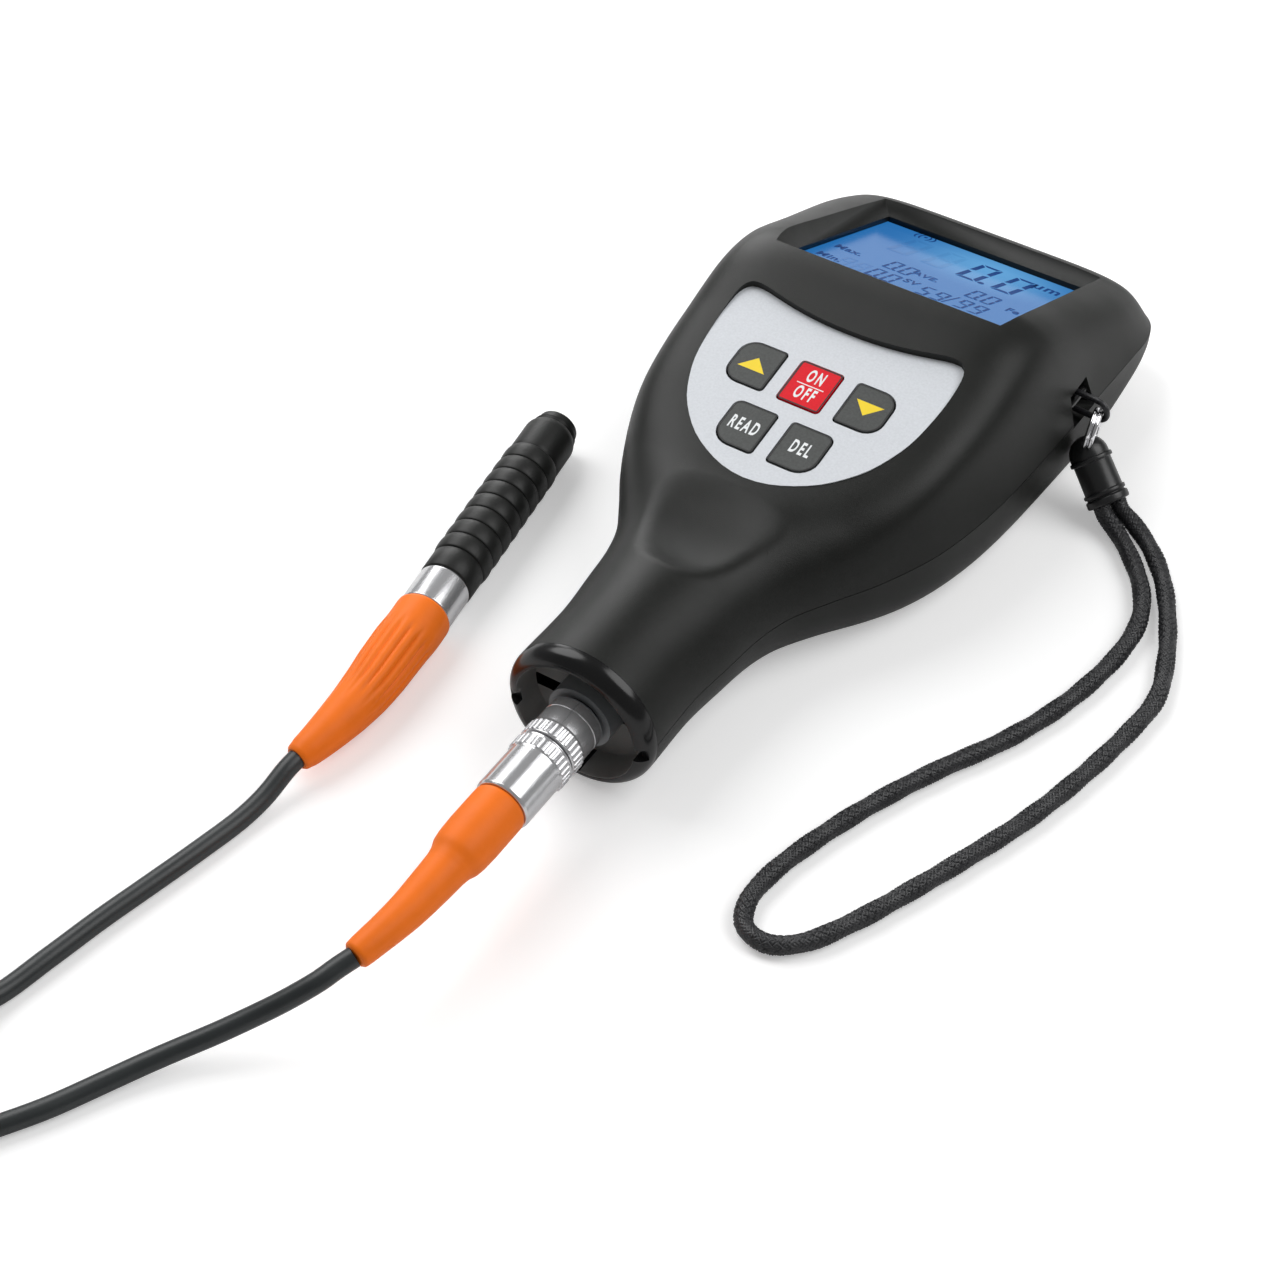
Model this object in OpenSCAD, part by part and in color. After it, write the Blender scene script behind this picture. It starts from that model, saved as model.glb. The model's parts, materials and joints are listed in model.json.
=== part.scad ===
// Handheld coating thickness gauge with a plug-in external probe and a wrist strap.
// Lies on its back: +Z out of the display side, +Y toward the display end, millimetres.

/* [Casing] */
// Length of the casing from the nose seam to the display end
body_l = 127; // [125:0.5:129]
// Greatest width of the casing across the head
body_w = 64; // [63:0.25:66]
// Height of the casing at the ridge between keys and display
body_t = 32.5; // [32:0.1:33.5]
// Diameter of the round neck at the nose seam
neck_d = 24.4; // [24:0.1:25]
// Wall thickness of both covers
wall = 2.2; // [2:0.05:2.4]
// Depth of the thumb dent below the neck surface
dent_depth = 2.2; // [1.8:0.1:2.4]

/* [Nose] */
// Length of the glossy nose cap in front of the seam
cap_l = 3; // [2.8:0.1:3.4]
// Inner diameter of the nose cap cup
cup_d = 20; // [19.6:0.1:20.2]
// Depth of the cup floor behind the seam
cup_floor = 2.2; // [1.6:0.1:2.6]
// Height of the groove across the nose cap
slot_h = 2.4; // [1.8:0.1:3]
// Diameter of the dark socket boss
boss_d = 10.4; // [10:0.1:11]

/* [Keypad] */
// Slope of the key field in degrees
key_tilt = 9.6; // [9:0.1:10.2]
// Thickness of the printed key field sheet
sheet_t = 0.5; // [0.4:0.05:0.7]
// Width of the centre key
key_w = 7; // [6.6:0.1:7.2]
// Height of every key
key_h = 8.1; // [7.7:0.1:8.3]
// Gap between a key and the sheet around it
key_gap = 0.3; // [0.25:0.01:0.35]
// Height of a key above the sheet
key_proud = 0.15; // [0.1:0.01:0.25]

/* [Display] */
// Downward slope of the display in degrees
lcd_tilt = 23.8; // [23.2:0.1:24.4]
// Width of the display opening
view_w = 36.4; // [35.6:0.1:37]
// Length of the display opening along the slope
view_h = 34.4; // [33.8:0.1:35]
// Thickness of the clear window
window_t = 1; // [0.8:0.05:1.2]
// Thickness of the liquid crystal panel
lcd_t = 2; // [1.8:0.05:2.2]
// Thickness of the backlight block
light_t = 2.2; // [2:0.05:2.4]

/* [Power] */
// Diameter of one cell
cell_d = 10.5; // [10.3:0.05:10.6]
// Length of one cell
cell_l = 44.5; // [44:0.1:44.8]
// Thickness of the battery door
door_t = 1.8; // [1.6:0.05:2]
// Gap all round the battery door
door_gap = 0.35; // [0.3:0.01:0.45]

/* [Plug] */
// Diameter of the chrome plug sleeves
sleeve_d = 8.8; // [8.6:0.05:9]
// Diameter over the knurled rings
knurl_d = 9.5; // [9.3:0.05:9.8]
// Gap between the turning ring and its neighbours
turn_gap = 0.3; // [0.25:0.01:0.4]
// Largest diameter of the orange plug boot
boot_d = 8.3; // [8:0.05:8.6]
// Diameter of the probe cable
cable_d = 3; // [2.9:0.02:3.1]

/* [Probe] */
// Diameter of the probe grip over its ribs
grip_d = 9.2; // [9:0.05:9.4]
// Length of the ribbed probe grip
grip_l = 38; // [37:0.25:39]
// Depth of the notches between the grip ribs
rib_depth = 0.45; // [0.3:0.05:0.6]
// Length of the chrome probe collar
collar_l = 6.8; // [6.4:0.1:7.2]
// Diameter of the sprung probe tip
tip_d = 6.8; // [6.6:0.05:6.9]
// Travel of the sprung probe tip
tip_travel = 1.5; // [1.2:0.05:1.8]
// Gap between the probe tip and its guide
tip_gap = 0.3; // [0.25:0.01:0.4]

/* [Strap] */
// Diameter of the braided strap cord
strap_d = 3; // [2.8:0.05:3.1]
// Diameter of the strap ferrule over its beads
ferrule_d = 6.9; // [6.7:0.05:7.1]
// Mean radius of the split ring
ring_r = 3.15; // [3.05:0.02:3.25]
// Radius of the split ring wire
ring_wire = 0.42; // [0.36:0.01:0.46]

/* [Hidden] */
$fn = 48;

// frame: the origin is under the middle of the gauge without its cords
socket_out = 1.5;
axis_z = neck_d / 2 + 0.1;
seam_y = (cap_l - body_l) / 2;
ky = body_l / 127;
function yy(s) = seam_y + ky * s;

// section tables: station from the seam, then the value there
plan_t = [[0, 0], [10, -0.01], [18, 0.03], [25, 0.07], [31, 0.155], [37, 0.325], [44, 0.54], [53, 0.75],
  [62, 0.87], [72, 0.94], [86, 0.985], [100, 1], [110, 1], [117, 0.98], [122, 0.92],
  [125, 0.82], [127, 0.66]];
top_t = [[0, 0], [12, -0.01], [24, -0.02], [34, -0.04], [42, -0.05], [46, 0.02], [54, 0.2],
  [62, 0.4], [70, 0.62], [75, 0.81], [79, 0.95], [82.5, 1], [86, 0.97], [90, 0.84], [100, 0.27],
  [112, -0.42], [121, -0.94], [124.5, -1.15], [126.2, -1.38], [127, -1.75]];
base_t = [[0, 0.1], [20, 0], [40, -0.9], [50, -1.8], [96, -1.8], [104, -0.5], [112, 1.9],
  [120, 4.6], [125, 6.6], [127, 8]];
seam_t = [[0, 0], [40, 0], [60, 0.4], [90, 1.2], [110, 0.2], [120, -1.8], [127, -3.2]];
lean_t = [[0, 0], [30, 0], [50, 0.08], [70, 0.13], [86, 0.15], [100, 0.165], [127, 0.17]];
up_t = [[0, 2], [20, 2], [34, 2.4], [42, 3.6], [50, 5.6], [58, 7], [127, 6]];
low_t = [[0, 2], [20, 2.1], [36, 2.6], [50, 3.6], [64, 4.2], [85, 4.6], [110, 5.4], [127, 4]];

function seg(t, s, i = 0) = (i >= len(t) - 2 || s < t[i + 1][0]) ? i : seg(t, s, i + 1);
function rise(t, a, b) = (t[b][1] - t[a][1]) / (t[b][0] - t[a][0]);
function grad(t, i) = rise(t, max(i - 1, 0), min(i + 1, len(t) - 1));
function curve(t, s) =
  let (i = seg(t, s), h = t[i + 1][0] - t[i][0], u = (s - t[i][0]) / h)
  t[i][1] * (1 + 2 * u) * (1 - u) * (1 - u) + grad(t, i) * h * u * (1 - u) * (1 - u)
  + t[i + 1][1] * u * u * (3 - 2 * u) + grad(t, i + 1) * h * u * u * (u - 1);
function half_w(s) = neck_d / 2 + (body_w - neck_d) / 2 * curve(plan_t, s);
function top_z(s) = axis_z + neck_d / 2 + (body_t - axis_z - neck_d / 2) * curve(top_t, s);
function base_z(s) = curve(base_t, s);
function seam_z(s) = axis_z + curve(seam_t, s);

// one half section: side is 1 for the front cover and -1 for the rear cover
steps = 18;
function half_section(s, side, inset) =
  let (n = curve(side > 0 ? up_t : low_t, s), lean = side > 0 ? curve(lean_t, s) : 0,
    w = half_w(s) - inset, z0 = seam_z(s), z1 = side > 0 ? top_z(s) - inset : base_z(s) + inset)
  [for (k = [0:steps]) let (a = 180 * k / steps, f = pow(sin(a), 2 / n), c = cos(a))
    [w * sign(c) * pow(abs(c), 2 / n) * (1 - lean * f), yy(s), z0 + (z1 - z0) * f]];
stations = [0, 4, 8, 12, 16, 20, 23, 26, 29, 32, 35, 38, 41, 44, 47, 50, 53, 57, 61, 65, 69, 73,
  77, 80, 83, 85, 87, 90, 95, 100, 105, 109, 113, 117, 120, 122.5, 124.5, 126, 127];

// skin between rings of equal count, closed at both ends
module skin(rings) {
  n = len(rings[0]);
  m = len(rings);
  polyhedron(
    points = [for (r = rings) for (p = r) p],
    faces = concat(
      [[for (j = [0:n - 1]) n - 1 - j]],
      [for (i = [0:m - 2]) for (j = [0:n - 1]) for (half = [0, 1])
        let (a = i * n + j, b = i * n + (j + 1) % n, c = b + n)
        half == 0 ? [a, b, c] : [a, c, a + n]],
      [[for (j = [0:n - 1]) (m - 1) * n + j]]));
}
module shell(side, inset) {
  rings = [for (s = stations) half_section(s, side, inset)];
  if (side > 0)
    skin(rings);
  else
    skin([for (r = rings) [for (j = [steps:-1:0]) r[j]]]);
}
in_stations = [for (s = stations) if (s <= 122.5) s];
module hollow(side) {
  drop = side * -0.5;
  rings = [for (s = in_stations) let (q = half_section(s, side, wall))
    concat([[q[0][0], q[0][1], q[0][2] + drop]], [for (j = [1:steps - 1]) q[j]],
      [[q[steps][0], q[steps][1], q[steps][2] + drop]])];
  nose = [for (p = rings[0]) [p[0], p[1] - 1, p[2]]];
  all_rings = concat([nose], rings);
  if (side > 0)
    skin(all_rings);
  else
    skin([for (r = all_rings) [for (j = [steps:-1:0]) r[j]]]);
}
// bar with a round outline made from two discs and a block
module capsule(l, d, h) hull() {
  translate([-l / 2, 0, 0]) cylinder(d = d, h = h, $fn = 24);
  translate([l / 2, 0, 0]) cylinder(d = d, h = h, $fn = 24);
}
// cylinder along +Y from y0 to y1 around the plug axis
module along_y(d, y0, y1) translate([0, y0, axis_z]) rotate([-90, 0, 0]) cylinder(d = d, h = y1 - y0);

// key field: local frame on the top face of the printed sheet
key_s = 61.8;
key_z = top_z(62) - 0.32;
module key_frame() translate([0, yy(key_s), key_z]) rotate([key_tilt, 0, 0]) children();
field_half = [[0, 11.8], [4, 11.9], [8, 12.3], [12, 13], [15.5, 13.8], [17.6, 14], [18.7, 13.6],
  [19.4, 12.6], [19.8, 11], [19.9, 8], [19.8, 5], [19.4, 1], [18.7, -3], [17.5, -6.5], [15.8, -10],
  [13.5, -13], [10.8, -15.6], [7.6, -17.6], [4, -19.1], [0, -19.7]];
field_pts = concat(field_half, [for (i = [len(field_half) - 2:-1:1]) [-field_half[i][0], field_half[i][1]]]);
// one point added between each pair, on the cubic through its neighbours
function fine(p) = let (n = len(p)) [for (i = [0:n - 1]) each [p[i],
  (9 * (p[i] + p[(i + 1) % n]) - p[(i + n - 1) % n] - p[(i + 2) % n]) / 16]];
module field2d() polygon(fine(field_pts));
// rounded rectangle, corner radii from the lower left round
module pad2d(w, h, r) polygon([for (c = [[-1, -1, 180, 0], [1, -1, 270, 1], [1, 1, 0, 2], [-1, 1, 90, 3]])
  for (a = [0:15:90]) let (q = r[c[3]])
    [c[0] * (w / 2 - q) + q * cos(c[2] + a), c[1] * (h / 2 - q) + q * sin(c[2] + a)]]);
side_x = key_w / 2 + 2.8 + key_w / 2;
low_x = 1.4 + key_w / 2;
low_y = -11.25;
corner = 0.5;
key_at = [[-side_x, 0], [0, 0], [side_x, 0], [-low_x, low_y], [low_x, low_y]];
key_r = [[2.6, corner, corner, 2.6], [corner, corner, corner, corner], [corner, 2.6, 2.6, corner],
  [3, corner, corner, 1.2], [corner, 3, 1.2, corner]];
floor_t = 1.4;
stem_d = 3.4;
stem_l = 1.2;
key_travel = 0.4;
well = key_travel + key_gap;
dome_top = -sheet_t - stem_l - well;
board_top = dome_top - 0.45;
board_t = 1.2;
board_hw = side_x + key_w / 2 + 5.7;
board_nw = low_x + key_w / 2 + 4.1;
board_y0 = low_y - 5.25;
board_y1 = key_h / 2 + 5.95;
module key2d(i, gap) pad2d(key_w + 2 * gap, key_h + 2 * gap, [for (r = key_r[i]) r + gap]);
module key_body(i) translate([key_at[i][0], key_at[i][1], 0]) {
  translate([0, 0, -sheet_t]) linear_extrude(sheet_t + key_proud) key2d(i, 0);
  translate([0, 0, -sheet_t - stem_l]) cylinder(d = stem_d, h = stem_l + 0.1);
}
post_at = [[-17, 7], [17, 7], [-10.5, -14.2], [10.5, -14.2]];

// display: local frame on the window face, X across, Y down the slope toward the display end
lcd_s = 119.7;
lcd_z = top_z(121) - 3.2;
module lcd_frame() translate([0, yy(lcd_s), lcd_z]) rotate([-lcd_tilt, 0, 0]) children();
pane_w = view_w + 6;
pane_h = view_h + 4;
mid_v = -view_h / 2 + 0.4;
lip_t = 0.9;
rest = 1.3;

// battery bay under the head
cell_pitch = cell_d + 0.35;
bay_hw = 2 * cell_pitch + 0.25;
spring_l = 2.4;
plate_t = 0.5;
bay_l = cell_l + spring_l + 2 * plate_t;
lcd_clear = 17.8;
bay_y = yy(lcd_s) - lcd_clear - bay_l;
cell_z = door_t + 0.45 + cell_d / 2;
bay_top = cell_z + cell_d / 2 + 0.3;
bay_wall = 1.3;
door_hw = bay_hw - 0.6;
door_y0 = bay_y + 1.2;
door_y1 = bay_y + bay_l + 1;
tongue = 1.5;
tongue_t = 0.8;
tongue_l = 9;
door_travel = 12;
tongue_at = [door_y0 + 4, door_y0 + 25];

// case screws, rear to front; seat height follows the outside of the rear cover
screw_at = [[-24.5, 113], [24.5, 113], [-11, 38], [11, 38]];
screw_in = [3.6, 3.6, 7, 7];
screw_d = 2.6;
screw_head = 5;
function under_z(x, s) = let (n = curve(low_t, s), q = min(abs(x) / half_w(s), 0.98))
  seam_z(s) - (seam_z(s) - base_z(s)) * pow(1 - pow(q, n), 1 / n);
function screw_x(i) = screw_at[i][0] * body_w / 64;
function seat_z(i) = max(0, under_z(abs(screw_x(i)) + 2.6, screw_at[i][1])) + 2.4;
module at_screw(i) translate([screw_x(i), yy(screw_at[i][1]), 0]) children();
module above(z) intersection() {
  children();
  translate([-100, -200, z]) cube([200, 400, 60]);
}
sink = 0.6;
dent_s = 30.5;
dent_half = [20, 10.5, 4.2];
stack = window_t + lcd_t + light_t;

// strap pocket in the right flank of the head
lug_s = 93.4;
lug_x = half_w(lug_s) - 2;
lug_z = seam_z(lug_s) + 2.15;
pocket = 2.7;
pocket_d = 5.2;
pocket_mouth = 8;
lug_d = 1.5;
lug = [lug_x, yy(lug_s), lug_z];
module pocket_cut() translate([lug_x, yy(lug_s), lug_z - pocket]) hull() {
  translate([-0.2, 0, 0]) cylinder(d = pocket_d, h = 2 * pocket, $fn = 24);
  translate([4, 0, 0]) cylinder(d = pocket_mouth, h = 2 * pocket, $fn = 24);
}
module pocket_back() translate([lug_x - 1, yy(lug_s), lug_z])
  cube([pocket_d + 0.8, pocket_mouth, pocket_mouth], center = true);

module front_cover() color([0.16, 0.17, 0.17]) difference() {
  union() {
    difference() {
      shell(1, 0);
      hollow(1);
    }
    intersection() {
      shell(1, sink);
      union() {
        // floor of the key field and the pads that carry the key board
        key_frame() translate([0, 0, -sheet_t - floor_t]) linear_extrude(floor_t + sheet_t + 3)
          scale([1.07, 1.07]) field2d();
        key_frame() for (p = post_at) translate([p[0], p[1], board_top])
          hull() {
            cylinder(d = 3, h = 1.4, $fn = 16);
            translate([0, 0, 1.3]) cylinder(d = 3.6, h = 0.1, $fn = 16);
          }
        // tray round the display stack
        lcd_frame() translate([-pane_w / 2 - rest, mid_v - pane_h / 2 - rest, -stack])
          cube([pane_w + 2 * rest, pane_h + 2 * rest, stack + 8]);
        // thick patch under the thumb dent
        translate([0, yy(dent_s), top_z(dent_s) - dent_depth - 1.4])
          scale([0.7 * dent_half[0], 1.1 * dent_half[1], 2.6]) sphere(r = 1, $fn = 32);
        // screw bosses
        for (i = [0:3]) at_screw(i) translate([0, 0, seam_z(screw_at[i][1])])
          hull() {
            cylinder(d = 5.4, h = 10, $fn = 16);
            translate([0, 0, 30]) cylinder(d = 6, h = 1, $fn = 16);
          }
        // backing of the strap pocket
        pocket_back();
      }
    }
  }
  // recess and stem holes of the key field
  key_frame() translate([0, 0, -sheet_t]) linear_extrude(12) field2d();
  key_frame() for (i = [0:4]) translate([key_at[i][0], key_at[i][1], -sheet_t - well])
    linear_extrude(3) key2d(i, key_gap);
  key_frame() for (p = key_at) translate([p[0], p[1], -6]) cylinder(d = stem_d + 1, h = 8, $fn = 20);
  // display recess, opening and room for the stack
  lcd_frame() translate([0, mid_v, 0]) hull() {
    translate([-view_w / 2, -view_h / 2, lip_t]) cube([view_w, view_h, 0.1]);
    translate([-view_w / 2 - 3.2, -view_h / 2 - 11, lip_t + 3.4]) cube([view_w + 6.4, view_h + 13, 0.1]);
  }
  lcd_frame() translate([-view_w / 2, mid_v - view_h / 2, -1]) cube([view_w, view_h, 3]);
  lcd_frame() translate([-pane_w / 2, mid_v - pane_h / 2, -20]) cube([pane_w, pane_h, 20]);
  // thumb dent
  translate([0, yy(dent_s), top_z(dent_s) - dent_depth + dent_half[2]])
    scale(dent_half) sphere(r = 1, $fn = 48);
  // bore for the nose cap skirt, pilot bores, strap pocket
  along_y(neck_d - 2.4, yy(0) - 1, yy(0) + cup_floor + 3);
  for (i = [0:3]) at_screw(i) translate([0, 0, seam_z(screw_at[i][1]) - 1])
    cylinder(d = screw_d + 0.15, h = 1.8 + screw_in[i], $fn = 16);
  pocket_cut();
}
module rear_cover() color([0.15, 0.16, 0.16]) difference() {
  union() {
    difference() {
      above(0) shell(-1, 0);
      above(wall) hollow(-1);
    }
    above(0) intersection() {
      shell(-1, sink);
      union() {
        // battery bay walls
        translate([-bay_hw - bay_wall, bay_y - bay_wall, 0])
          cube([2 * (bay_hw + bay_wall), bay_l + 2 * bay_wall, bay_top + bay_wall]);
        // screw pillars
        for (i = [0:3]) at_screw(i) hull() {
          translate([0, 0, -1]) cylinder(d = 8, h = 1, $fn = 16);
          translate([0, 0, seam_z(screw_at[i][1]) - 1]) cylinder(d = 6, h = 1, $fn = 16);
        }
        pocket_back();
        // ribs between the bay and the flank, either side of the door
        for (sx = [-1, 1]) for (y = [bay_y + 4, bay_y + bay_l - 6]) translate([sx * (bay_hw + 1), y, 0])
          hull() {
            cylinder(d = 2, h = 5, $fn = 12);
            translate([sx * 6, 0, 0]) cylinder(d = 2, h = 5, $fn = 12);
          }
      }
    }
  }
  // battery bay, door opening and tongue slots
  translate([-bay_hw, bay_y, door_t + 0.15]) cube([2 * bay_hw, bay_l, bay_top - door_t - 0.15]);
  translate([-door_hw - door_gap, door_y0 - door_gap, -1])
    cube([2 * (door_hw + door_gap), door_y1 - door_y0 + 2 * door_gap, 1 + door_t + 0.2]);
  translate([-door_hw - door_gap, door_y1 - 1, -1])
    cube([2 * (door_hw + door_gap), 30, 1 + door_t + door_gap]);
  for (sx = [-1, 1]) for (y = tongue_at)
    translate([sx > 0 ? door_hw - 0.1 : -door_hw - tongue - door_gap, y - door_gap,
      door_t - tongue_t - door_gap])
      cube([tongue + door_gap + 0.1, tongue_l + door_travel + 2 * door_gap, tongue_t + 2 * door_gap]);
  // screw bores and counterbores
  for (i = [0:3]) at_screw(i) {
    translate([0, 0, -1]) cylinder(d = screw_d + 0.4, h = 60, $fn = 16);
    translate([0, 0, -1]) cylinder(d = screw_head + 0.6, h = 1 + seat_z(i), $fn = 20);
  }
  along_y(neck_d - 2.4, yy(0) - 1, yy(0) + cup_floor + 3);
  pocket_cut();
}
rim_r = 2.6;
module nose_cap() color([0.05, 0.05, 0.05]) difference() {
  translate([0, yy(0), axis_z]) rotate([90, 0, 0]) rotate_extrude($fn = 96) union() {
    difference() {
      union() {
        square([neck_d / 2, cap_l - rim_r]);
        square([neck_d / 2 - rim_r, cap_l]);
        intersection() {
          translate([neck_d / 2 - rim_r, cap_l - rim_r]) circle(r = rim_r, $fn = 40);
          square([neck_d, cap_l]);
        }
        translate([0, -cup_floor - 2.4]) square([neck_d / 2 - 1.3, cup_floor + 2.5]);
      }
      translate([0, -cup_floor]) square([cup_d / 2, cap_l + cup_floor + 1]);
    }
  }
  along_y(8.2, yy(0) - 2, yy(0) + 10);
  // groove across the rim, deeper again across the floor of the cup
  translate([0, yy(0), axis_z - slot_h / 2 - 0.7]) {
    translate([-20, -cap_l - 1, 0]) cube([40, cap_l - 0.6, slot_h]);
    translate([-cup_d / 2, cup_floor - 0.1, 0]) cube([cup_d, 1.7, slot_h]);
  }
}
module keypad_sheet() color([0.85, 0.86, 0.87]) key_frame() translate([0, 0, -sheet_t])
  linear_extrude(sheet_t) difference() {
    field2d();
    for (i = [0:4]) translate(key_at[i]) key2d(i, key_gap);
  }
module key_up() color([0.3, 0.3, 0.3]) key_frame() key_body(0);
module key_power() color([0.75, 0.05, 0.12]) key_frame() key_body(1);
module key_down() color([0.3, 0.3, 0.3]) key_frame() key_body(2);
module key_read() color([0.3, 0.3, 0.3]) key_frame() key_body(3);
module key_delete() color([0.3, 0.3, 0.3]) key_frame() key_body(4);
module key_domes() color([0.75, 0.75, 0.73]) key_frame() for (p = key_at) translate([p[0], p[1], board_top]) {
  cylinder(d = 5, h = 0.2);
  cylinder(d1 = 4.4, d2 = 2, h = dome_top - board_top);
}
module key_board() color([0.1, 0.35, 0.2]) key_frame() translate([0, 0, board_top - board_t])
  linear_extrude(board_t) polygon([[-board_hw, board_y1], [board_hw, board_y1], [board_hw, 0],
    [board_nw, board_y0], [-board_nw, board_y0], [-board_hw, 0]]);
module display_window() color([0.75, 0.85, 0.95, 0.4]) lcd_frame()
  translate([-pane_w / 2 + 0.2, mid_v - pane_h / 2 + 0.2, -window_t])
    cube([pane_w - 0.4, pane_h - 0.4, window_t]);
module lcd_panel() color([0.3, 0.55, 0.9]) lcd_frame()
  translate([-pane_w / 2 + 0.3, mid_v - pane_h / 2 + 0.3, -window_t - lcd_t])
    cube([pane_w - 0.6, pane_h - 0.6, lcd_t]);
module backlight() color([0.9, 0.95, 1]) lcd_frame()
  translate([-pane_w / 2 + 0.3, mid_v - pane_h / 2 + 0.3, -window_t - lcd_t - light_t])
    cube([pane_w - 0.6, pane_h - 0.6, light_t]);
module main_board() color([0.1, 0.35, 0.2]) lcd_frame()
  translate([-pane_w / 2, mid_v - pane_h / 2 - 1, -stack - board_t]) cube([pane_w, pane_h - 3, board_t]);
chip_w = 12;
chip_t = 1.4;
module board_chips() color([0.08, 0.08, 0.08]) lcd_frame() translate([0, mid_v, -stack - board_t]) {
  translate([-chip_w / 2, -chip_w, -chip_t]) cube([chip_w, chip_w, chip_t]);
  translate([-1.35 * chip_w, -1.15 * chip_w, -chip_t]) cube([chip_w / 2, 0.4 * chip_w, chip_t]);
  translate([0.85 * chip_w, -1.25 * chip_w, -chip_t]) cube([0.4 * chip_w, 0.65 * chip_w, chip_t]);
}
module battery_door() color([0.15, 0.16, 0.16]) {
  difference() {
    translate([-door_hw, door_y0, 0]) cube([2 * door_hw, door_y1 - door_y0, door_t]);
    for (k = [0:4]) translate([-8, door_y1 - 5 - 1.8 * k, -0.5]) cube([16, 0.8, 0.9]);
  }
  for (sx = [-1, 1]) for (y = tongue_at)
    translate([sx > 0 ? door_hw - 0.01 : -door_hw - tongue + 0.01, y, door_t - tongue_t])
      cube([tongue, tongue_l, tongue_t]);
}
module cell(i) {
  flip = i % 2 == 0;
  y0 = bay_y + plate_t + spring_l;
  translate([(i - 1.5) * cell_pitch, y0, cell_z]) rotate([-90, 0, 0]) {
    translate([0, 0, flip ? 0 : 0.8]) cylinder(d = cell_d, h = cell_l - 0.8);
    translate([0, 0, flip ? cell_l - 0.9 : 0]) cylinder(d = 3.8, h = 0.9);
  }
}
module cell_1() color([0.7, 0.55, 0.2]) cell(0);
module cell_2() color([0.7, 0.55, 0.2]) cell(1);
module cell_3() color([0.7, 0.55, 0.2]) cell(2);
module cell_4() color([0.7, 0.55, 0.2]) cell(3);
module cell_springs() color([0.75, 0.76, 0.78]) for (i = [0:3])
  translate([(i - 1.5) * cell_pitch, bay_y, cell_z]) rotate([-90, 0, 0]) {
    translate([-4, -4, 0]) cube([8, 8, plate_t]);
    for (k = [0:2]) translate([0, 0, plate_t + 0.3 + 0.75 * k]) rotate_extrude($fn = 32)
      translate([3 - 0.45 * k, 0]) circle(r = 0.45, $fn = 16);
    translate([0, 0, plate_t - 0.05]) cylinder(d = 3.2, h = spring_l + 0.05);
  }
module cell_contacts() color([0.75, 0.76, 0.78]) for (i = [0:3])
  translate([(i - 1.5) * cell_pitch - 4, bay_y + bay_l - plate_t, cell_z - 4]) cube([8, plate_t, 8]);
module case_screws() color([0.7, 0.7, 0.72]) for (i = [0:3]) at_screw(i) {
  z0 = seat_z(i);
  difference() {
    translate([0, 0, z0 - 1.7]) cylinder(d = screw_head, h = 1.7);
    for (a = [0, 90]) rotate(a) translate([-1.6, -0.3, z0 - 1.8]) cube([3.2, 0.6, 0.9]);
  }
  translate([0, 0, z0 - 0.1]) cylinder(d = screw_d, h = seam_z(screw_at[i][1]) - z0 + screw_in[i]);
}
boss_y = yy(0) + cup_floor;
tube_d = 7.4;
module socket_boss() color([0.25, 0.26, 0.27]) difference() {
  along_y(boss_d, yy(0) - socket_out, boss_y);
  along_y(tube_d, yy(0) - 10, boss_y + 1);
}
module socket_shell() color([0.8, 0.8, 0.82]) difference() {
  along_y(tube_d, yy(0) - socket_out, yy(0) + 12);
  along_y(6, yy(0) - 10, yy(0) + 9);
}
module socket_insert() color([0.1, 0.1, 0.1]) difference() {
  along_y(6, yy(0) + 3, yy(0) + 9);
  for (a = [0:72:288]) translate([1.7 * cos(a), 0, 1.7 * sin(a)]) along_y(0.9, yy(0) + 2, yy(0) + 8);
}
module socket_nut() color([0.8, 0.8, 0.82]) difference() {
  translate([0, boss_y + 2.4, axis_z]) rotate([-90, 30, 0]) cylinder(d = 12.4, h = 2.2, $fn = 6);
  along_y(tube_d, yy(0), yy(0) + 20);
}
// plug, measured from the seam toward the cable
core_d = 5.4;
ring_y0 = -9.8;
body_y0 = ring_y0 - turn_gap;
body_y1 = -20.8;
module plug_ring() color([0.8, 0.8, 0.82]) difference() {
  union() {
    along_y(sleeve_d, yy(0) - 8.2, yy(0) - socket_out - turn_gap);
    along_y(knurl_d, yy(0) + ring_y0, yy(0) - 7.4);
  }
  along_y(core_d + 1.2, yy(0) - 20, yy(0) + 1);
}
module plug_core() color([0.78, 0.78, 0.8]) {
  along_y(core_d, yy(0) + body_y0 - 0.1, yy(0) + 2.9);
  for (a = [0:72:288]) translate([1.7 * cos(a), 0, 1.7 * sin(a)]) along_y(0.8, yy(0) + 2.8, yy(0) + 6);
}
module plug_body() color([0.8, 0.8, 0.82]) {
  along_y(knurl_d, yy(0) - 12.6, yy(0) + body_y0 - 0.1);
  along_y(sleeve_d, yy(0) + body_y1, yy(0) - 12.5);
}
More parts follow.
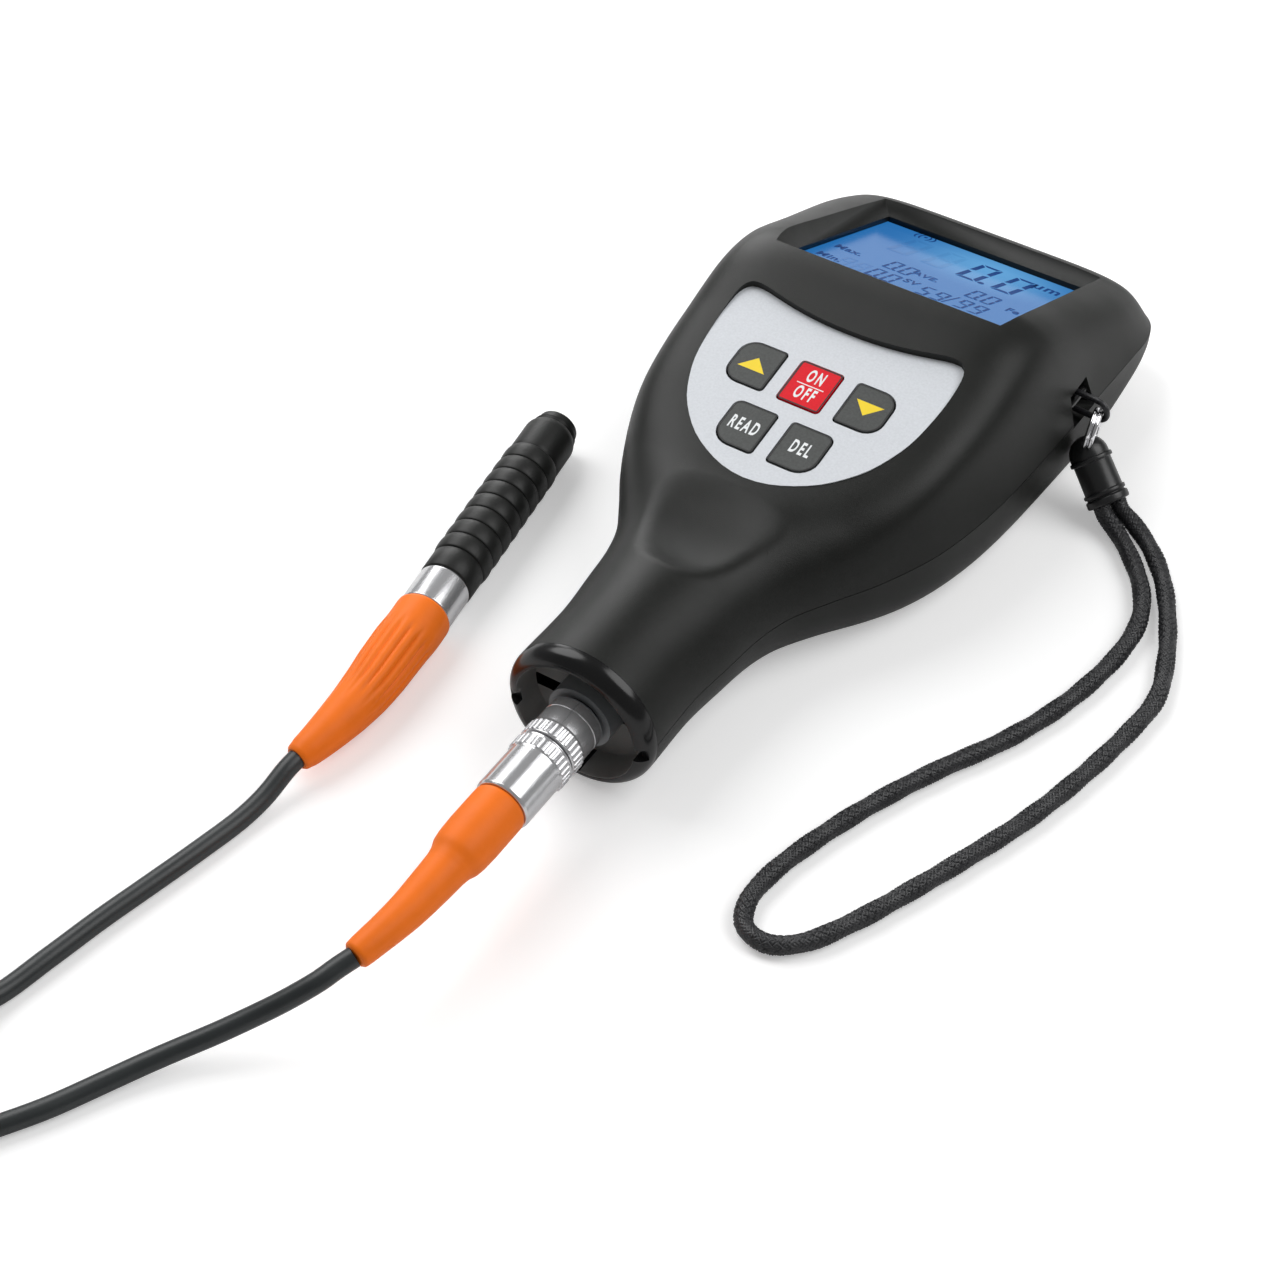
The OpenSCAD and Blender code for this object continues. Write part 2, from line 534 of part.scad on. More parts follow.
// tube swept through route points with a radius at each one
function unit(v) = v / norm(v);
function tangent(p, i) = unit(p[min(i + 1, len(p) - 1)] - p[max(i - 1, 0)]);
function ring_at(c, t, r, n) =
  let (b = unit(cross(t, abs(t[2]) > 0.9 ? [1, 0, 0] : [0, 0, 1])), d = cross(b, t))
  [for (k = [0:n - 1]) c + r * (cos(360 * k / n) * b + sin(360 * k / n) * d)];
module sweep(p, r, n) skin([for (i = [0:len(p) - 1]) ring_at(p[i], tangent(p, i), r[i], n)]);
function shift(p) = [for (q = p) [q[0], yy(0) + q[1], q[2]]];
plug_path = shift([for (q = [[0, body_y1, 0], [0, -24, 0], [0, -28, 0], [0, -30.4, 0], [0, -32, -0.05],
  [0, -33.4, -0.1], [-0.05, -37, -0.15], [-0.3, -42, -0.3], [-0.8, -46, -0.4], [-1.3, -49, -0.5],
  [-1.8, -51.6, -0.7]]) [q[0], q[1], axis_z + q[2]]]);
plug_r = [for (k = [1, 1, 0.97, 0.93, 0.82, 0.76, 0.71, 0.63, 0.57, 0.52, 0.49]) boot_d / 2 * k];
module plug_boot() color([0.95, 0.4, 0.1]) sweep(plug_path, plug_r, 24);
run_z = cable_d / 2 + 0.05;
run_1 = concat([plug_path[10], plug_path[10] + 2 * tangent(plug_path, 10)],
  shift([[-3.9, -56.4, 10.4], [-7, -60.4, 8.2], [-10.4, -64, 6], [-13.6, -67.6, 4.3], [-16.8, -71.4, 3],
  [-19.4, -75, 2.2], [-21.8, -79, run_z + 0.2], [-26, -86.8, run_z], [-30, -93, run_z], [-34, -99, run_z],
  [-36.8, -105.2, run_z]]));
module cable_plug_run() color([0.12, 0.13, 0.13]) sweep(run_1, [for (q = run_1) cable_d / 2], 8);
coil_at = [-56, -107];
coil_r = 17;
coil_w = 2 * cable_d + 0.4;
coil_h = 4 * cable_d + 0.4;
module cable_coil() color([0.12, 0.13, 0.13]) translate([coil_at[0], yy(0) + coil_at[1], 0])
  rotate_extrude($fn = 48) translate([coil_r - coil_w / 2, 0]) square([coil_w, coil_h]);
probe_at = [-35.4, 8.9, 4.65];
probe_yaw = 8.4;
probe_dir = [-sin(probe_yaw), cos(probe_yaw), 0];
boot2_path = shift([probe_at, probe_at - 4 * probe_dir, [-34.6, 2, 4.65], [-34, -3, 4.6], [-33.5, -7.5, 4.5],
  [-33.3, -12, 4.4], [-33.4, -16, 4.3], [-33.7, -20, 4.15], [-34.2, -23.8, 4]]);
boot2_r = [for (k = [1, 1, 0.99, 0.96, 0.88, 0.77, 0.67, 0.56, 0.46]) 4.5 * k];
module probe_boot() color([0.95, 0.4, 0.1]) sweep(boot2_path, boot2_r, 24);
run_2 = concat([boot2_path[8], boot2_path[8] + 2 * tangent(boot2_path, 8)],
  shift([[-34.8, -30.6, 2.2], [-35.4, -35.2, run_z],
  [-36.8, -43, run_z], [-38.6, -51.4, run_z], [-40.4, -59.6, run_z], [-42, -68.4, run_z],
  [-43.7, -77.4, run_z + 0.2], [-45.4, -83.4, 4], [-48.6, -86.6, 7.6], [-53.2, -88, 10.2]]));
module cable_probe_run() color([0.12, 0.13, 0.13]) sweep(run_2, [for (q = run_2) cable_d / 2], 8);
// probe: local frame at the boot face, Z toward the tip
module probe_frame() translate([probe_at[0], yy(0) + probe_at[1], probe_at[2]])
  rotate([-90, 0, probe_yaw]) children();
module probe_collar() color([0.8, 0.8, 0.82]) probe_frame() cylinder(d = grip_d - 0.7, h = collar_l);
ribs = 8;
rib_s = 4.4;
rib_p = (grip_l - rib_s - 8) / ribs;
plain_r = grip_d / 2 - 0.25;
round_r = 2.2;
bore_d = 4.2;
tip_out = tip_travel + 0.1;
// half outline of the grip: plain start, bulging ribs, plain end with a rounded shoulder
grip_edge = concat([[0, 0], [plain_r, 0]],
  [for (k = [0:ribs - 1]) for (u = [0:0.25:0.75])
    [grip_d / 2 - rib_depth * (1 - pow(sin(180 * u), 0.6)), rib_s + rib_p * (k + u)]],
  [[grip_d / 2 - rib_depth, grip_l - 8], [plain_r, grip_l - 7.2]],
  [for (a = [0:15:90]) [plain_r - round_r * (1 - cos(a)), grip_l - round_r * (1 - sin(a))]], [[0, grip_l]]);
module probe_grip() color([0.07, 0.07, 0.07]) probe_frame() translate([0, 0, collar_l]) difference() {
  rotate_extrude($fn = 40) polygon(grip_edge);
  translate([0, 0, 18]) cylinder(d = bore_d + 2 * tip_gap, h = grip_l);
  translate([0, 0, grip_l - 5]) cylinder(d = tip_d + 2 * tip_gap, h = 6);
}
tip_z = collar_l + grip_l;
module probe_tip() color([0.1, 0.1, 0.1]) probe_frame() translate([0, 0, tip_z]) {
  translate([0, 0, -5 + tip_travel + tip_gap]) cylinder(d = tip_d, h = 5 - tip_gap + 0.1);
  translate([0, 0, -11]) cylinder(d = bore_d, h = 11);
}
spring_z0 = collar_l + 18;
spring_h = tip_z - 11 - tip_travel - tip_gap - spring_z0;
module probe_spring() color([0.7, 0.7, 0.72]) probe_frame() translate([0, 0, spring_z0]) difference() {
  cylinder(d = 3.8, h = spring_h);
  translate([0, 0, -1]) cylinder(d = 2.8, h = spring_h + 2);
}
// strap hardware
module strap_lug() color([0.1, 0.1, 0.1]) intersection() {
  translate(lug) rotate([90, 0, 0]) cylinder(d = lug_d, h = 2 * pocket_mouth, center = true);
  pocket_cut();
}
module face_along(v, w) multmatrix([[w[0], v[0], cross(w, v)[0], 0], [w[1], v[1], cross(w, v)[1], 0],
  [w[2], v[2], cross(w, v)[2], 0], [0, 0, 0, 1]]) children();
// cord loop: two half turns joined by straights, upright, its long axis out of the pocket
loop_dir = unit([0.97, -0.2, 0.12]);
loop_up = cross(unit(cross(loop_dir, [0, 0, 1])), loop_dir);
loop_r = 1.7;
loop_w = 0.5;
loop_l = 4.2;
loop_c = lug + (loop_r - loop_w - lug_d / 2 + loop_l / 2) * loop_dir;
module strap_loop() color([0.06, 0.06, 0.06]) translate(loop_c) face_along(loop_up, loop_dir)
  for (e = [0, 180]) rotate(e) {
    translate([loop_l / 2, 0, 0]) rotate(-90) rotate_extrude(angle = 180)
      translate([loop_r, 0]) circle(r = loop_w, $fn = 20);
    translate([-loop_l / 2, loop_r, 0]) rotate([0, 90, 0]) cylinder(r = loop_w, h = loop_l, $fn = 20);
  }
// split ring: two turns side by side, hung in the end of the loop, nearly flat to the flank
ring_half = 1.9 * ring_wire;
ring_dir = unit([0.02, -0.49, -0.87]);
ring_side = unit(cross([0.97, 0.25, 0], ring_dir));
ring_c = loop_c + (loop_l / 2 + loop_r - loop_w - ring_half - 0.15) * loop_dir + ring_r * ring_dir;
module torus(r, w) rotate_extrude($fn = 48) translate([r, 0]) circle(r = w, $fn = 20);
module strap_ring() color([0.85, 0.85, 0.86]) translate(ring_c) face_along(ring_dir, ring_side) {
  translate([0, 0, -ring_wire * 0.9]) torus(ring_r, ring_wire);
  translate([0, 0, ring_wire * 0.9]) torus(ring_r, ring_wire);
}
// ferrule: domed end with the eye for the ring, beads and a flange at the strap end
hang = unit([0.675, -0.347, -0.651]);
ferrule_l = 11.4;
dome_r = ferrule_d / 2 - 0.3;
dome_c = ring_c + ring_r * ring_dir + [0.35, 0.35, -1.5];
ferrule_end = dome_c + (ferrule_l - dome_r) * hang;
hang_side = unit(cross(hang, [0, 0, 1]));
// stations along the ferrule from the dome centre, with the diameter up to the next one
ferrule_t = [[0, 2 * dome_r], [0.5, ferrule_d], [1.1, 2 * dome_r - 0.1], [6, ferrule_d - 0.1],
  [6.6, ferrule_d - 0.8], [6.9, ferrule_d], [ferrule_l - dome_r, 0]];
module strap_ferrule() color([0.06, 0.06, 0.06]) difference() {
  translate(dome_c) face_along(hang, hang_side) rotate([-90, 0, 0]) {
    sphere(r = dome_r, $fn = 40);
    for (i = [0:len(ferrule_t) - 2]) translate([0, 0, ferrule_t[i][0]])
      cylinder(d = ferrule_t[i][1], h = ferrule_t[i + 1][0] - ferrule_t[i][0]);
  }
  translate(ring_c) face_along(ring_dir, ring_side) torus(ring_r, ring_half + 0.2);
}
strap_z = strap_d / 2 + 0.05;
leg_gap = strap_d / 2 + 0.05;
leg_1 = ferrule_end + leg_gap * hang_side;
leg_2 = ferrule_end - leg_gap * hang_side;
strap_path = concat([leg_1, leg_1 + 1.5 * hang], shift([for (q = [[43.6, 83.6, 0.5], [47.9, 80, 0],
  [52.7, 73.9, 0], [55.1, 67.8, 0], [55.5, 60.3, 0], [53.5, 48.2, 0], [49.4, 36.6, 0], [43.4, 25.2, 0],
  [38.8, 15, 0], [35.1, 4.5, 0], [33.1, -3.6, 0], [32.9, -9.6, 0], [34.8, -13.4, 0], [38.8, -14.3, 0],
  [42.8, -11.6, 0], [46.9, -4.8, 0], [51, 4.4, 0], [54.8, 13.8, 0], [58.4, 23.6, 0], [61.5, 35.4, 0],
  [63.6, 47.2, 0], [64.1, 54.9, 0], [62, 62.7, 0], [58.5, 70.8, 0], [54.3, 78, 0], [49.4, 83.6, 0],
  [45.4, 86.4, 0.5]]) [q[0], q[1], strap_z + q[2]]]), [leg_2 + 1.5 * hang, leg_2]);
module strap_cord() color([0.07, 0.07, 0.07]) sweep(strap_path, [for (q = strap_path) strap_d / 2], 8);

front_cover();
rear_cover();
nose_cap();
keypad_sheet();
key_up();
key_power();
key_down();
key_read();
key_delete();
key_domes();
key_board();
display_window();
lcd_panel();
backlight();
main_board();
board_chips();
battery_door();
cell_1();
cell_2();
cell_3();
cell_4();
cell_springs();
cell_contacts();
case_screws();
socket_boss();
socket_shell();
socket_insert();
socket_nut();
plug_ring();
plug_core();
plug_body();
plug_boot();
cable_plug_run();
cable_coil();
cable_probe_run();
probe_boot();
probe_collar();
probe_grip();
probe_tip();
probe_spring();
strap_lug();
strap_loop();
strap_ring();
strap_ferrule();
strap_cord();
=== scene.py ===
"""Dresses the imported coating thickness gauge: casing, keys, display, plug, probe, cable and strap.

Sizes are millimetres in the part's own frame and become metres when a mesh is made. A station is
a distance along the casing, measured from the seam behind the nose cap.
"""

import json
import logging
import math
from dataclasses import dataclass, field
from enum import Enum
from typing import Callable, Sequence

import bmesh
import bpy
import numpy as np
from mathutils import Matrix, Vector
from mathutils.bvhtree import BVHTree
from mathutils.interpolate import poly_3d_calc

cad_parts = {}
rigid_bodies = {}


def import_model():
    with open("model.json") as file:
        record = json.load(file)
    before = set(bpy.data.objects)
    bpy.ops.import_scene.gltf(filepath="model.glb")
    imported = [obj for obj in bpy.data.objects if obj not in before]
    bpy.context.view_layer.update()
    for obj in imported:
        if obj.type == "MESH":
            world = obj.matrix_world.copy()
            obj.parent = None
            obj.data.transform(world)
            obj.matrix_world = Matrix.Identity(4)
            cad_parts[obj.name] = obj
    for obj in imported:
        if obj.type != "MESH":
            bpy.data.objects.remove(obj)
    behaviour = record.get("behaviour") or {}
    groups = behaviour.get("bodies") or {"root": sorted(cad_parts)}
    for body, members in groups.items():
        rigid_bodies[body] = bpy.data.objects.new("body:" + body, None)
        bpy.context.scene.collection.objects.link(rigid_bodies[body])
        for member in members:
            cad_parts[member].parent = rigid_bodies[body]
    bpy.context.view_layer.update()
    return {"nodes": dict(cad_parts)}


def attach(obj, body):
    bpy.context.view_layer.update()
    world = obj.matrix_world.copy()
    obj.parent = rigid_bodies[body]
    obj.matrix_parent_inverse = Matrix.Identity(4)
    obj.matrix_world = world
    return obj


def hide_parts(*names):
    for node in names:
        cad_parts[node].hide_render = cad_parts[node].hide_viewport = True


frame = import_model()

LOG = logging.getLogger("gauge")
MM = 0.001
GAUGE = "gauge"
SEAM_Y = -62.0
AXIS_Z = 12.3
INK = 0.01

Object = bpy.types.Object
Node = bpy.types.Node
Socket = bpy.types.NodeSocket
Pair = tuple[float, float]
Triple = tuple[float, float, float]
Table = Sequence[Pair]
Feeds = dict[str | int, object]


# shapes


def link(name: str, data: bpy.types.ID) -> Object:
    """Puts a mesh, curve, camera or lamp into the scene as an object at the origin.

    Args:
        name: the object's name.
        data: what it shows.

    Returns:
        The new object.
    """
    obj = bpy.data.objects.new(name, data)
    bpy.context.scene.collection.objects.link(obj)
    return obj


def smooth(mesh: bpy.types.Mesh, crease: float) -> None:
    """Shades a mesh smooth, apart from edges sharper than crease degrees."""
    mesh.shade_smooth()
    mesh.set_sharp_from_angle(angle=math.radians(crease))


def make(name: str, verts: np.ndarray, faces: Sequence[Sequence[int]], crease: float = 40.0,
         close: bool = True) -> Object:
    """Makes an object from points in millimetres.

    Args:
        name: the object's name.
        verts: points, one row each, in millimetres.
        faces: corner numbers of each face.
        crease: edges sharper than this many degrees stay sharp.
        close: whether normals are turned outwards.

    Returns:
        The new object, at the origin.
    """
    mesh = bpy.data.meshes.new(name)
    mesh.from_pydata((np.asarray(verts, float) * MM).tolist(), [], [list(f) for f in faces])
    if close:
        work = bmesh.new()
        work.from_mesh(mesh)
        bmesh.ops.recalc_face_normals(work, faces=work.faces)
        work.to_mesh(mesh)
        work.free()
    smooth(mesh, crease)
    return link(name, mesh)


def loft_faces(rings: int, count: int, caps: bool = True) -> list[list[int]]:
    """Faces of a skin over closed rings.

    Args:
        rings: how many rings there are.
        count: points on each ring.
        caps: whether both ends are closed by flat faces.

    Returns:
        Corner numbers of each face.
    """
    faces = []
    for low in range(0, (rings - 1) * count, count):
        for j in range(count):
            k = (j + 1) % count
            faces.append([low + j, low + k, low + count + k, low + count + j])
    if caps:
        faces += [list(range(count - 1, -1, -1)), [(rings - 1) * count + j for j in range(count)]]
    return faces


def placed(points: np.ndarray, place: Matrix) -> np.ndarray:
    """Points of a local frame, in the part's frame."""
    return points @ np.array(place.to_3x3()).T + np.array(place.translation)


def revolve(name: str, profile: Table, place: Matrix, count: int = 96,
            crease: float = 32.0) -> Object:
    """Turns a profile about the local Z axis.

    Args:
        name: the object's name.
        profile: (radius, height) pairs in millimetres; a radius of 0 closes an end.
        place: where the local frame stands, in millimetres.
        count: points round the axis.
        crease: edges sharper than this many degrees stay sharp.

    Returns:
        The turned object.
    """
    turn = np.arange(count) * 2 * math.pi / count
    x, y = np.cos(turn), np.sin(turn)
    points = np.concatenate([np.stack([r * x, r * y, np.full(count, h)], 1) for r, h in profile])
    obj = make(name, points, loft_faces(len(profile), count, caps=False), crease)
    work = bmesh.new()
    work.from_mesh(obj.data)
    bmesh.ops.remove_doubles(work, verts=work.verts, dist=1e-7)
    bmesh.ops.holes_fill(work, edges=[e for e in work.edges if e.is_boundary], sides=0)
    work.transform(Matrix.Translation(place.translation * MM) @ place.to_3x3().to_4x4())
    bmesh.ops.recalc_face_normals(work, faces=work.faces)
    work.to_mesh(obj.data)
    work.free()
    smooth(obj.data, crease)
    return obj


def rounded(corners: Sequence[Triple], steps: int = 6) -> list[Pair]:
    """Rounds the corners of an open profile.

    Args:
        corners: (radius, height, fillet) of each corner.
        steps: points on each fillet.

    Returns:
        The profile as (radius, height) pairs.
    """
    out: list[Pair] = []
    for i, (x, y, r) in enumerate(corners):
        here = np.array([x, y])
        if r <= 0 or i in (0, len(corners) - 1):
            out.append((x, y))
            continue
        before = np.array(corners[i - 1][:2]) - here
        after = np.array(corners[i + 1][:2]) - here
        reach = min(r, np.linalg.norm(before) / 2, np.linalg.norm(after) / 2)
        a = here + before / np.linalg.norm(before) * reach
        b = here + after / np.linalg.norm(after) * reach
        for t in np.arange(steps + 1) / steps:
            p = a * (1 - t) ** 2 + here * 2 * t * (1 - t) + b * t * t
            out.append((float(p[0]), float(p[1])))
    return out


def distances(line: np.ndarray) -> np.ndarray:
    """How far along a polyline each of its points lies."""
    return np.concatenate([[0], np.cumsum(np.linalg.norm(np.diff(line, axis=0), axis=1))])


def length_of(line: np.ndarray) -> float:
    """Length of a polyline, in its own unit."""
    return float(distances(line)[-1])


def even(line: np.ndarray, step: float) -> np.ndarray:
    """Samples a polyline at equal distances.

    Args:
        line: points, one row each.
        step: about how far apart the samples lie.

    Returns:
        Sampled points, one row each.
    """
    along = distances(line)
    at = np.linspace(0, along[-1], max(3, int(round(along[-1] / step)) + 1))
    return np.stack([np.interp(at, along, line[:, k]) for k in range(3)], 1)


def smooth_path(points: Sequence[Sequence[float]], step: float, per_span: int = 24) -> np.ndarray:
    """Runs a smooth curve (centripetal Catmull-Rom) through the points and samples it evenly.

    Args:
        points: route points in millimetres.
        step: distance between the samples in millimetres.
        per_span: points between two route points before they are spread evenly.

    Returns:
        Sampled points, one row each.
    """
    p = np.asarray(points, float)
    p = np.concatenate([[2 * p[0] - p[1]], p, [2 * p[-1] - p[-2]]])
    dense = []
    for i in range(1, len(p) - 2):
        near = p[i - 1:i + 3]
        chords = np.linalg.norm(np.diff(near, axis=0), axis=1)
        knots = np.concatenate([[0], np.cumsum(np.sqrt(chords))])
        t = np.linspace(knots[1], knots[2], per_span, endpoint=False)[:, None]
        row = list(near)
        for spans in ((0, 1), (1, 2), (2, 3)), ((0, 2), (1, 3)), ((1, 2),):
            row = [(knots[b] - t) / (knots[b] - knots[a]) * row[k]
                   + (t - knots[a]) / (knots[b] - knots[a]) * row[k + 1]
                   for k, (a, b) in enumerate(spans)]
        dense.append(row[0])
    return even(np.concatenate(dense + [p[-2][None]]), step)


def unit(v: Sequence[float]) -> np.ndarray:
    """A direction of length one."""
    return np.asarray(v, float) / np.linalg.norm(v)


def frame_of(x: np.ndarray, y: np.ndarray, z: np.ndarray, origin: Sequence[float]) -> Matrix:
    """A frame from its three axes and its origin."""
    return Matrix([[x[i], y[i], z[i], origin[i]] for i in range(3)] + [[0, 0, 0, 1]])


def tilted(origin: Triple, degrees: float, axis: str = "X") -> Matrix:
    """A frame at a point, turned about one axis."""
    return Matrix.Translation(origin) @ Matrix.Rotation(math.radians(degrees), 4, axis)


def frames_along(line: np.ndarray) -> tuple[np.ndarray, np.ndarray]:
    """Two side directions along a polyline, with no twist.

    Args:
        line: points, one row each.

    Returns:
        First side and second side at each point.
    """
    tangent = np.gradient(line, axis=0)
    tangent /= np.linalg.norm(tangent, axis=1)[:, None]
    side = np.zeros_like(line)
    side[0] = unit(np.cross(tangent[0], [0, 0, 1.0]))
    for i in range(1, len(line)):
        side[i] = unit(side[i - 1] - tangent[i] * (side[i - 1] @ tangent[i]))
    return side, np.cross(side, tangent)


def tube(name: str, line: np.ndarray, radius: Callable[[np.ndarray], np.ndarray] | float,
         sides: int, flute: Callable[[np.ndarray, np.ndarray], np.ndarray] | None = None) -> Object:
    """Sweeps a round section along a line, with a UV map of length and turn.

    Args:
        name: the object's name.
        line: points, one row each, in millimetres.
        radius: one radius, or a radius for each distance along the line.
        sides: points round the section.
        flute: how much is taken off the radius at a distance along and an angle.

    Returns:
        The swept object.
    """
    along = distances(line)
    size = radius(along) if callable(radius) else np.full(len(line), radius)
    one, two = frames_along(line)
    turn = np.arange(sides) * 2 * math.pi / sides
    r = size[:, None] * np.ones(sides)
    if flute is not None:
        r = r - flute(along[:, None], turn[None, :])
    out = (np.cos(turn)[None, :, None] * one[:, None, :]
           + np.sin(turn)[None, :, None] * two[:, None, :])
    points = line[:, None, :] + r[..., None] * out
    obj = make(name, points.reshape(-1, 3), loft_faces(len(line), sides), 45.0)
    layer = obj.data.uv_layers.new(name="along")
    corner = np.zeros(len(obj.data.loops), int)
    obj.data.loops.foreach_get("vertex_index", corner)
    uv = np.stack([along[corner // sides] * MM, corner % sides / sides], 1)
    # faces that close the turn run on past 1 instead of back to 0
    for poly in obj.data.polygons:
        turns = uv[poly.loop_start:poly.loop_start + poly.loop_total, 1]
        if poly.loop_total == 4 and turns.max() - turns.min() > 0.5:
            turns[turns < 0.5] += 1
    layer.data.foreach_set("uv", uv.astype(np.float32).ravel())
    return obj


def plate(name: str, outline: Table, low: float, high: float, place: Matrix) -> Object:
    """Raises a flat outline between two heights of a local frame.

    Args:
        name: the object's name.
        outline: corners in millimetres, in order.
        low: lower height.
        high: upper height.
        place: the local frame.

    Returns:
        The plate.
    """
    count = len(outline)
    flat = np.asarray(outline, float)
    points = np.concatenate([np.c_[flat, np.full(count, height)] for height in (low, high)])
    return make(name, placed(points, place), loft_faces(2, count), 50.0)


def box(name: str, low: Triple, high: Triple) -> Object:
    """A closed block between two corners in millimetres."""
    flat = [(low[0], low[1]), (high[0], low[1]), (high[0], high[1]), (low[0], high[1])]
    return plate(name, flat, low[2], high[2], Matrix.Identity(4))


def join(name: str, parts: Sequence[Object]) -> Object:
    """Joins objects that sit at the origin into one, keeping their materials.

    Args:
        name: the new object's name.
        parts: the objects, which are removed.

    Returns:
        The joined object.
    """
    work = bmesh.new()
    slots: list[bpy.types.Material] = []
    for part in parts:
        first = len(work.faces)
        work.from_mesh(part.data)
        work.faces.ensure_lookup_table()
        for face in work.faces[first:]:
            material = part.data.materials[face.material_index]
            if material not in slots:
                slots.append(material)
            face.material_index = slots.index(material)
    mesh = bpy.data.meshes.new(name)
    work.to_mesh(mesh)
    work.free()
    for material in slots:
        mesh.materials.append(material)
    for part in parts:
        bpy.data.objects.remove(part)
    return link(name, mesh)


def settled(obj: Object) -> Object:
    """Turns text, a curve or an object with modifiers into a plain mesh.

    Args:
        obj: the object.

    Returns:
        The plain object, a new one where it wasn't a mesh before.
    """
    graph = bpy.context.evaluated_depsgraph_get()
    graph.update()
    mesh = bpy.data.meshes.new_from_object(obj.evaluated_get(graph))
    if obj.type != "MESH":
        name = obj.name
        bpy.data.objects.remove(obj)
        return link(name, mesh)
    obj.modifiers.clear()
    obj.data = mesh
    return obj


def carved(obj: Object, cutters: Sequence[Object]) -> Object:
    """Takes closed shapes out of an object.

    Args:
        obj: the object.
        cutters: the shapes, which are removed.

    Returns:
        The object as a plain mesh.
    """
    for cutter in cutters:
        bite = obj.modifiers.new("bite", "BOOLEAN")
        bite.operation, bite.solver, bite.object = "DIFFERENCE", "EXACT", cutter
    done = settled(obj)
    for cutter in cutters:
        bpy.data.objects.remove(cutter)
    return done


@dataclass(frozen=True)
class Lettering:
    """A way of lettering with the built-in font."""

    narrow: float
    space: float
    weight: float = 0.03
    capital: float = 0.69
    curve_steps: int = 4

    def write(self, text: str, height: float, middle: Pair, place: Matrix, lift: float) -> Object:
        """Flat lettering in a local frame.

        Args:
            text: what it says.
            height: height of a capital, in millimetres.
            middle: where its middle stands.
            place: the local frame.
            lift: height of the letters' face above the frame.

        Returns:
            The lettering as a mesh.
        """
        curve = bpy.data.curves.new("lettering", "FONT")
        curve.body = text
        curve.align_x, curve.align_y = "CENTER", "CENTER"
        curve.space_character, curve.offset = self.space, self.weight
        curve.fill_mode, curve.resolution_u = "FRONT", self.curve_steps
        obj = settled(link("lettering", curve))
        scale = height / self.capital
        local = (Matrix.Translation((*middle, lift))
                 @ Matrix.Diagonal((scale * self.narrow, scale, 1, 1)))
        obj.data.transform(Matrix.Scale(MM, 4) @ place @ local)
        return obj


# node trees


class Graph:
    """A node tree that is built up from nodes with their inputs already fed."""

    def __init__(self, tree: bpy.types.NodeTree) -> None:
        """Starts from a node tree."""
        self.tree = tree

    def feed(self, node: Node, feeds: Feeds) -> None:
        """Sets or links inputs of a node.

        Args:
            node: the node.
            feeds: a value or another node's output for each input's name or number.
        """
        for label, value in feeds.items():
            if isinstance(value, Socket):
                self.tree.links.new(value, node.inputs[label])
            else:
                node.inputs[label].default_value = value

    def add(self, kind: str, feeds: Feeds | None = None, **options: object) -> Node:
        """Adds a node.

        Args:
            kind: the node's type.
            feeds: what its inputs are fed with.
            options: its settings.

        Returns:
            The node.
        """
        node = self.tree.nodes.new(kind)
        for key, value in options.items():
            setattr(node, key, value)
        self.feed(node, feeds or {})
        return node


class Paint(Graph):
    """A material with the standard shader, as it is built up."""

    def __init__(self, name: str, feeds: Feeds) -> None:
        """Starts the material.

        Args:
            name: the material's name.
            feeds: what the shader's inputs are fed with.
        """
        self.material = bpy.data.materials.new(name)
        self.material.use_nodes = True
        super().__init__(self.material.node_tree)
        self.shader = self.tree.nodes["Principled BSDF"]
        self.feed(self.shader, feeds)

    def place(self) -> Socket:
        """The object's own coordinates."""
        return self.add("ShaderNodeTexCoord").outputs["Object"]

    def noise(self, place: Socket, scale: float, detail: float) -> Socket:
        """Soft noise at a place."""
        feeds = {"Vector": place, "Scale": scale, "Detail": detail}
        return self.add("ShaderNodeTexNoise", feeds).outputs["Fac"]

    def ramp(self, factor: Socket, low: tuple[float, Triple], high: tuple[float, Triple],
             form: str = "LINEAR") -> Socket:
        """Runs from one colour to another.

        Args:
            factor: what decides between them.
            low: up to where the first colour holds, and that colour.
            high: from where the second colour holds, and that colour.
            form: how they blend.

        Returns:
            The colour.
        """
        node = self.add("ShaderNodeValToRGB", {"Fac": factor})
        node.color_ramp.interpolation = form
        for element, (position, colour) in zip(node.color_ramp.elements, (low, high)):
            element.position, element.color = position, (*colour, 1)
        return node.outputs["Color"]

    def bump(self, height: Socket, strength: float, distance: float) -> None:
        """Raises the surface a little.

        Args:
            height: how high each place stands.
            strength: how much of it shows.
            distance: the full height, in metres.
        """
        feeds = {"Height": height, "Strength": strength, "Distance": distance}
        bump = self.add("ShaderNodeBump", feeds)
        self.feed(self.shader, {"Normal": bump.outputs["Normal"]})


